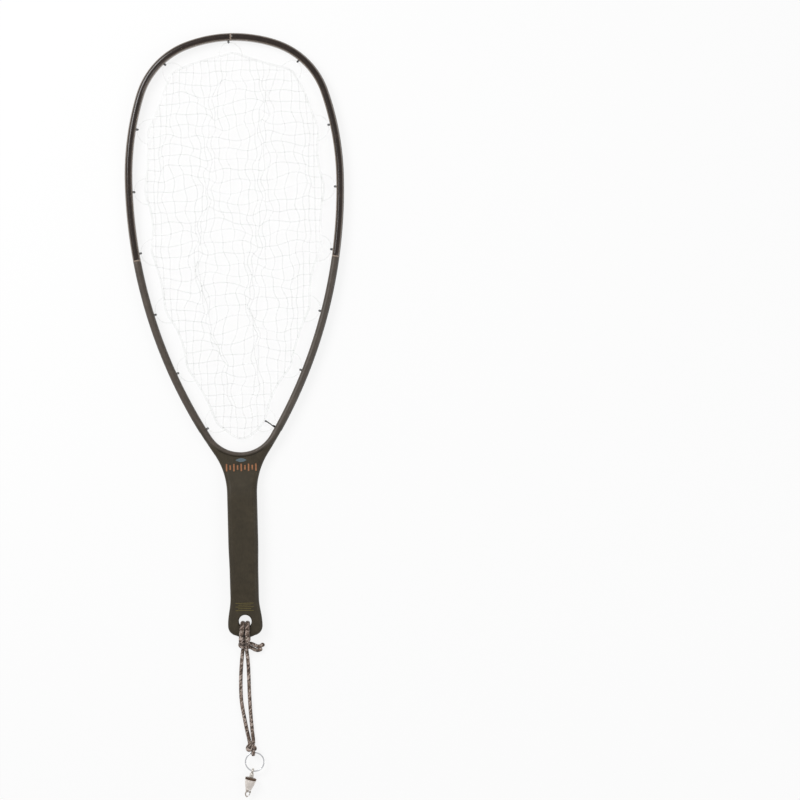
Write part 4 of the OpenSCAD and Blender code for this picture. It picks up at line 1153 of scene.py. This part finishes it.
def handle_skin(name):
    """The handle's closed skin: one plan at the front and back, with a wall and a parting line between."""
    rows, cols = grid.shape[:2]
    ring = len(rim)
    start = rows * cols
    plan = np.vstack([grid.reshape(-1, 2), *butt_rings[:-1], rim[cols:]])

    def on_ring(i, j):
        if i < STEPS_BUTT:
            return start + i * ring + j
        return (rows - 1) * cols + j if j < cols else start + STEPS_BUTT * ring + j - cols

    quads = [(r * cols + c, (r + 1) * cols + c, (r + 1) * cols + c + 1, r * cols + c + 1)
             for r in range(rows - 1) for c in range(cols - 1)]
    quads += [(on_ring(i, j), on_ring(i, (j + 1) % ring), on_ring(i + 1, (j + 1) % ring), on_ring(i + 1, j))
              for i in range(STEPS_BUTT) for j in range(ring)]
    front, back = front_z(plan[:, 1]), back_z(plan[:, 1])
    thick = front - back
    edge_r = np.minimum(EDGE_R, thick * 0.42)
    to_hole = np.abs(np.linalg.norm(plan - np.array(HOLE), axis=1) - HOLE_R)
    fall = rounding(distance_to(plan, outline), edge_r) + rounding(distance_to(plan, seat_edge),
        SEAT_EDGE_R)
    fall = np.minimum(fall + rounding(to_hole, HOLE_EDGE_R), thick * 0.45)
    once = {}
    for quad in quads:
        for a, b in zip(quad, quad[1:] + quad[:1]):
            if once.pop((b, a), None) is None:
                once[(a, b)] = True
    normal = np.zeros_like(plan)
    for a, b in once:
        run = plan[b] - plan[a]
        for v in (a, b):
            normal[v] += (-run[1], run[0])
    normal = unit(normal)
    count = len(plan)
    edge = sorted({v for pair in once for v in pair})
    spot = {v: 2 * count + 3 * k for k, v in enumerate(edge)}
    middle = (front + back) / 2
    walls = []
    for v in edge:
        for inset, lift in ((0, SEAM_W), (SEAM_DEPTH, 0), (0, -SEAM_W)):
            walls.append((*(plan[v] + normal[v] * inset), middle[v] + lift))
    points = np.vstack([np.column_stack([plan, front - fall]), np.column_stack([plan, back + fall]), walls])
    faces = quads + [tuple(count + v for v in quad[::-1]) for quad in quads]
    for a, b in once:
        levels_a = [a, spot[a], spot[a] + 1, spot[a] + 2, count + a]
        levels_b = [b, spot[b], spot[b] + 1, spot[b] + 2, count + b]
        for k in range(4):
            faces.append((levels_b[k], levels_a[k], levels_a[k + 1], levels_b[k + 1]))
    corners = [(points[v][1], points[v][0] / 40) for face in faces for v in face]
    return add_piece(name, points, faces, corners)


handle = handle_skin("handle")
seat(handle, "net_frame", "matte_composite", matte_composite, "handle_front_shell", "handle_back_shell")

foam_finish, foam_tree, foam_shader = new_finish("foam_core", Roughness=0.9)
foam_tree.links.new(
    ramp(foam_tree, mottle(foam_tree, 1200, 4.0),
    [(0.35, linear(206, 192, 152)), (0.65, linear(232, 222, 188))]),
    foam_shader.inputs["Base Color"])
relief_on(foam_tree, foam_shader, mottle(foam_tree, 2200, 4.0), 0.0002, 0.8)
paint_nodes(foam_finish, "foam", "foam_core")


# ---- Printed marks ----
# Thin printed marks on the handle's front: a row of bars and a lens below the yoke, and fine
# lines above the lanyard hole. The ink is a little worn, so the composite shows through it.
def ink_finish(name, low, high):
    material, tree, shader = new_finish(name, Roughness=0.5, Specular_IOR_Level=0.4)
    wear_tone_and_sheen = mottle(tree, 1500, 5.0, rough=0.7)
    ink = ramp(tree, wear_tone_and_sheen, [(0.3, linear(74, 65, 53)), (0.44, linear(*low)), (0.66, linear(*high))])
    tree.links.new(ink, shader.inputs["Base Color"])
    relief_on(tree, shader, wear_tone_and_sheen, 0.00002, 0.4)
    return material


paint_nodes(ink_finish("orange_print", (150, 98, 64), (182, 126, 88)), "orange_print", "yoke_decal")
paint_nodes(ink_finish("blue_print", (82, 98, 106), (114, 130, 138)), "blue_print", "oval_decal")
paint_nodes(ink_finish("gold_print", (98, 88, 48), (128, 114, 62)), "gold_print", "butt_decal")


# ---- Rubber bag ----
# A clear rubber net, moulded in one piece with a thick rim. It lies collapsed inside the hoop in
# lengthwise folds; small clear loops join its rim to the stitches, and it sags between them.
STRAND_R, RIM_R, ARCH_R = 0.42, 1.05, 0.5
RIM_INSET = 17.0
RIM_SAG = (2.0, 4.5)
RIM_HIGH_Z, RIM_LOW_Z = 4.4, 2.2
LOOP_SPAN = 13.0
LATTICE_X, LATTICE_Y = 7.6, 11.8
FOLDS_ACROSS = 3.0
FOLD_SWAY, FOLD_RISE = 0.085, 8.0
FLOOR_Z = 0.85

rubber, rubber_tree, rubber_shader = new_finish(
    "clear_rubber", Transmission_Weight=1.0, IOR=1.16, Specular_IOR_Level=0.3)
rubber_tree.links.new(
    ramp(rubber_tree, mottle(rubber_tree, 60, 3.0),
    [(0.3, linear(247, 248, 247)), (0.7, linear(252, 252, 252))]),
    rubber_shader.inputs["Base Color"])
rubber_tree.links.new(
    ramp(rubber_tree, mottle(rubber_tree, 500, 3.0), [(0.3, grey(0.14)), (0.75, grey(0.3))]),
    rubber_shader.inputs["Roughness"])
relief_on(rubber_tree, rubber_shader, mottle(rubber_tree, 1400, 2.0), 0.00005, 0.3)

yoke_l = flank_l + math.radians(90 - yoke_angle) * (YOKE_R + HOOP_W / 2)


def rim_station(s):
    """The hoop's centreline again, carried on round the inside of the yoke to its middle."""
    if s <= flank_l:
        return station(s)
    a = -math.radians(yoke_angle) - (s - flank_l) / (YOKE_R + HOOP_W / 2)
    out = np.array([math.cos(a), math.sin(a)])
    return yoke_c + (YOKE_R + HOOP_W / 2) * out, out


def rim_point(s, way):
    """Where the bag's rim runs: it hangs from the stitches and sags inwards between them."""
    stops = [TIP_STITCH_AT * -way] + STATIONS + [yoke_l + 12]
    if s < stops[0]:
        k, share = 0, 0.0
    else:
        k = max(i for i in range(len(stops) - 1) if stops[i] <= s)
        share = (s - stops[k]) / (stops[k + 1] - stops[k])
    swing = math.sin(math.pi * share) ** 1.3
    sag = RIM_SAG[(k + (way > 0)) % 2] * swing * min(1.0, (yoke_l + 12 - s) / 60)
    near = math.exp(-min(abs(s - stop) for stop in stops) ** 2 / 90)
    p, out = rim_station(s)
    height = RIM_LOW_Z + (RIM_HIGH_Z - RIM_LOW_Z) * (1 - swing) ** 1.5
    p = p - (RIM_INSET + sag + 1.5 * (1 - near)) * out
    return np.array([p[0] * way, p[1], height])


half_run = np.linspace(0.5, yoke_l - 0.5, 300)
rim_line = np.array([rim_point(s, 1) for s in half_run] + [rim_point(s, -1) for s in half_run[::-1]])
for _ in range(10):
    rim_line = 0.5 * rim_line + 0.25 * (np.roll(rim_line, 1, 0) + np.roll(rim_line, -1, 0))
closed_rim = np.vstack([rim_line, rim_line[:1]])
rim_plan = closed_rim[:, :2]


def crossings(axis, at):
    """Where a straight line of the lattice crosses the rim: lowest and highest place along it."""
    a, b = rim_plan[:-1], rim_plan[1:]
    hit = (a[:, axis] - at) * (b[:, axis] - at) < 0
    t = (at - a[hit, axis]) / (b[hit, axis] - a[hit, axis])
    found = np.sort(a[hit, 1 - axis] + t * (b[hit, 1 - axis] - a[hit, 1 - axis]))
    return (found[0], found[-1]) if len(found) > 1 else None


def fall_in_folds(points):
    """The flat lattice laid as the collapsed bag lies: lengthwise folds that lean over each other."""
    points = np.asarray(points, float)
    x, y = points[:, 0], points[:, 1]
    gap = np.full(len(points), 1e9)
    rim_z = np.zeros(len(points))
    for p, z in zip(rim_plan[::3], closed_rim[::3, 2]):
        d = np.hypot(x - p[0], y - p[1])
        rim_z = np.where(d < gap, z, rim_z)
        gap = np.minimum(gap, d)
    inside = np.clip(gap / 30, 0, 1)
    inside = inside * inside * (3 - 2 * inside)
    width = np.interp(y, [-125, -60, 20, 120, 200, 330], [20, 48, 76, 92, 92, 60])
    phase = 2 * np.pi * FOLDS_ACROSS * x / (2 * width) + 1.1 * np.sin(y / 71 + 0.6) + 0.5 * np.sin(y / 29
        + x / 50)
    size = 0.72 + 0.28 * np.sin(y / 53 + x / 37 + 1.3)
    sway = FOLD_SWAY * width * size * inside
    crumple = 1.3 * np.sin(x / 5.3 + y / 9.1) + 1.1 * np.sin(y / 6.2 - x / 8.7 + 2)
    rise = FOLD_RISE * size * inside * (1 + np.cos(phase)) / 2 + 0.5 * inside * (crumple + 2.4)
    fall = np.clip(1 - gap / 12, 0, 1) ** 2
    placed = np.column_stack([
        x + sway * np.sin(phase) + inside * (2.0 * np.sin(y / 8.3 + x / 11)
        + 1.3 * np.sin(y / 4.1 - x / 6.1)),
        y + inside * (2.2 * np.sin(x / 9.4 + y / 13) + 1.3 * np.sin(x / 4.7 + y / 5.2)
        + 3 * np.sin(phase * 0.5 + y / 40)),
        FLOOR_Z + rise + fall * (rim_z - FLOOR_Z)])
    placed[:, 2] = np.maximum(placed[:, 2], FLOOR_Z)
    return placed


lattice = []
for at in np.arange(-12.5, 13) * LATTICE_X:
    ends = crossings(0, at)
    if ends:
        ys = np.linspace(*ends, max(3, int((ends[1] - ends[0]) / 3)))
        lattice.append(fall_in_folds(np.column_stack([np.full(len(ys), at), ys])))
for at in np.arange(-9.5, 28) * LATTICE_Y:
    ends = crossings(1, at)
    if ends:
        xs = np.linspace(*ends, max(3, int((ends[1] - ends[0]) / 1.5)))
        lattice.append(fall_in_folds(np.column_stack([xs, np.full(len(xs), at)])))


def rubber_strand_recipe():
    """A round strand along each line of the base mesh."""
    tree, sizes = new_recipe("rubber_strands", Strand_Radius=0.0006, Step=0.002, Sides=6)
    line = add_node(tree, "GeometryNodeMeshToCurve", {0: sizes["Geometry"]})
    even = add_node(tree, "GeometryNodeResampleCurve",
        {"Curve": line.outputs[0], "Length": sizes["Step"]}, mode="LENGTH")
    section = add_node(tree, "GeometryNodeCurvePrimitiveCircle", {
        "Resolution": sizes["Sides"], "Radius": sizes["Strand Radius"]})
    skin = add_node(tree, "GeometryNodeCurveToMesh", {
        "Curve": even.outputs[0], "Profile Curve": section.outputs[0], "Fill Caps": True})
    end_recipe(tree, skin.outputs[0], sizes["Finish"])
    return tree


arches = []
rim_gap = float(np.linalg.norm(np.diff(closed_rim, axis=0), axis=1).mean())
for p, out in stitch_places:
    end = p - (HOOP_W / 2 + STITCH_REACH - 0.9) * out
    gap = np.hypot(*(rim_plan[:-1] - end).T)
    nearest = int(np.argmin(gap))
    for reach in (LOOP_SPAN, -LOOP_SPAN):
        foot = rim_line[(nearest + int(round(reach / rim_gap))) % len(rim_line)]
        way_in = -np.array([*out, 0])
        down = (foot - (*end, MID_Z)) @ way_in * way_in
        aside = foot - (*end, MID_Z) - down
        arches.append([(*end, MID_Z) + aside * math.sin(t) + down * (1 - math.cos(t))
                       for t in np.linspace(0, math.pi / 2, 16)])

strands_recipe = rubber_strand_recipe()
net = follow_recipe(
    "bag_lattice", strands_recipe, line_base("lattice_lines", *lattice), rubber,
    Strand_Radius=STRAND_R * MM, Step=2.0 * MM, Sides=6)
rim_piece = follow_recipe(
    "bag_rim", strands_recipe, line_base("rim_line", closed_rim), rubber,
    Strand_Radius=RIM_R * MM, Step=1.5 * MM, Sides=14)
arch_piece = follow_recipe(
    "bag_loops", strands_recipe, line_base("arch_lines", *arches), rubber,
    Strand_Radius=ARCH_R * MM, Step=0.6 * MM, Sides=10)
seat(net, "net_frame", "clear_rubber", None, "net_bag")
seat(rim_piece, "net_frame", "clear_rubber", None)
seat(arch_piece, "net_frame", "clear_rubber", None)


# ---- Floor and light ----
# A plain pale floor just under the net. Soft light comes from all round, from one large soft lamp,
# and from a weaker lamp on the other side.
FLOOR_SIZE = 30.0
FLOOR_GAP = 0.0003
FLOOR_TONE = 0.94
floor_mesh = bpy.data.meshes.new("floor")
half = FLOOR_SIZE / 2
floor_mesh.from_pydata([(-half, -half, 0), (half, -half, 0), (half, half, 0), (-half, half, 0)], [],
    [(0, 1, 2, 3)])
floor = bpy.data.objects.new("floor", floor_mesh)
floor.location.z = -FLOOR_GAP
bpy.context.scene.collection.objects.link(floor)
floor_finish, floor_tree, floor_shader = new_finish("floor", Roughness=0.9, Specular_IOR_Level=0.1)
floor_shader.inputs["Base Color"].default_value = grey(FLOOR_TONE)
seen = add_node(floor_tree, "ShaderNodeLightPath")
straight = sums(floor_tree, "MAXIMUM", seen.outputs["Is Camera Ray"], sums(
    floor_tree, "MAXIMUM", seen.outputs["Is Glossy Ray"], seen.outputs["Is Transmission Ray"]))
WHITE_SHARE = 0.84
share = sums(floor_tree, "MULTIPLY", straight, WHITE_SHARE)
glow = add_node(floor_tree, "ShaderNodeEmission", {"Color": grey(1), "Strength": 1.0})
blend = add_node(floor_tree, "ShaderNodeMixShader",
    {0: share, 1: floor_shader.outputs[0], 2: glow.outputs[0]})
floor_tree.links.new(blend.outputs[0], floor_tree.nodes["Material Output"].inputs["Surface"])
floor.data.materials.append(floor_finish)

world = bpy.data.worlds.new("studio")
bpy.context.scene.world = world
world.use_nodes = True
sky = world.node_tree.nodes["Background"]
sky.inputs["Color"].default_value = (1, 1, 1, 1)
WORLD_LIGHT = 0.45
world_path = add_node(world.node_tree, "ShaderNodeLightPath")
straight_up = sums(world.node_tree, "MAXIMUM", world_path.outputs["Is Camera Ray"],
    world_path.outputs["Is Transmission Ray"])
lift = sums(world.node_tree, "MULTIPLY", straight_up, 1 - WORLD_LIGHT)
world.node_tree.links.new(sums(world.node_tree, "ADD", lift, WORLD_LIGHT), sky.inputs["Strength"])


def soft_lamp(name, place, size, watts):
    """A square soft lamp that faces the net."""
    data = bpy.data.lights.new(name, "AREA")
    data.size = size
    data.energy = watts
    lamp = bpy.data.objects.new(name, data)
    lamp.location = place
    way = -np.array(place, float)
    flat = math.hypot(way[0], way[1])
    lamp.rotation_euler = (math.atan2(flat, -way[2]), 0, math.atan2(way[1], way[0]) - math.pi / 2)
    bpy.context.scene.collection.objects.link(lamp)
    return lamp


soft_lamp("lamp_left", (-1.1, 0.9, 1.5), 1.0, 26)
soft_lamp("lamp_right", (1.5, -0.6, 1.4), 0.9, 7)
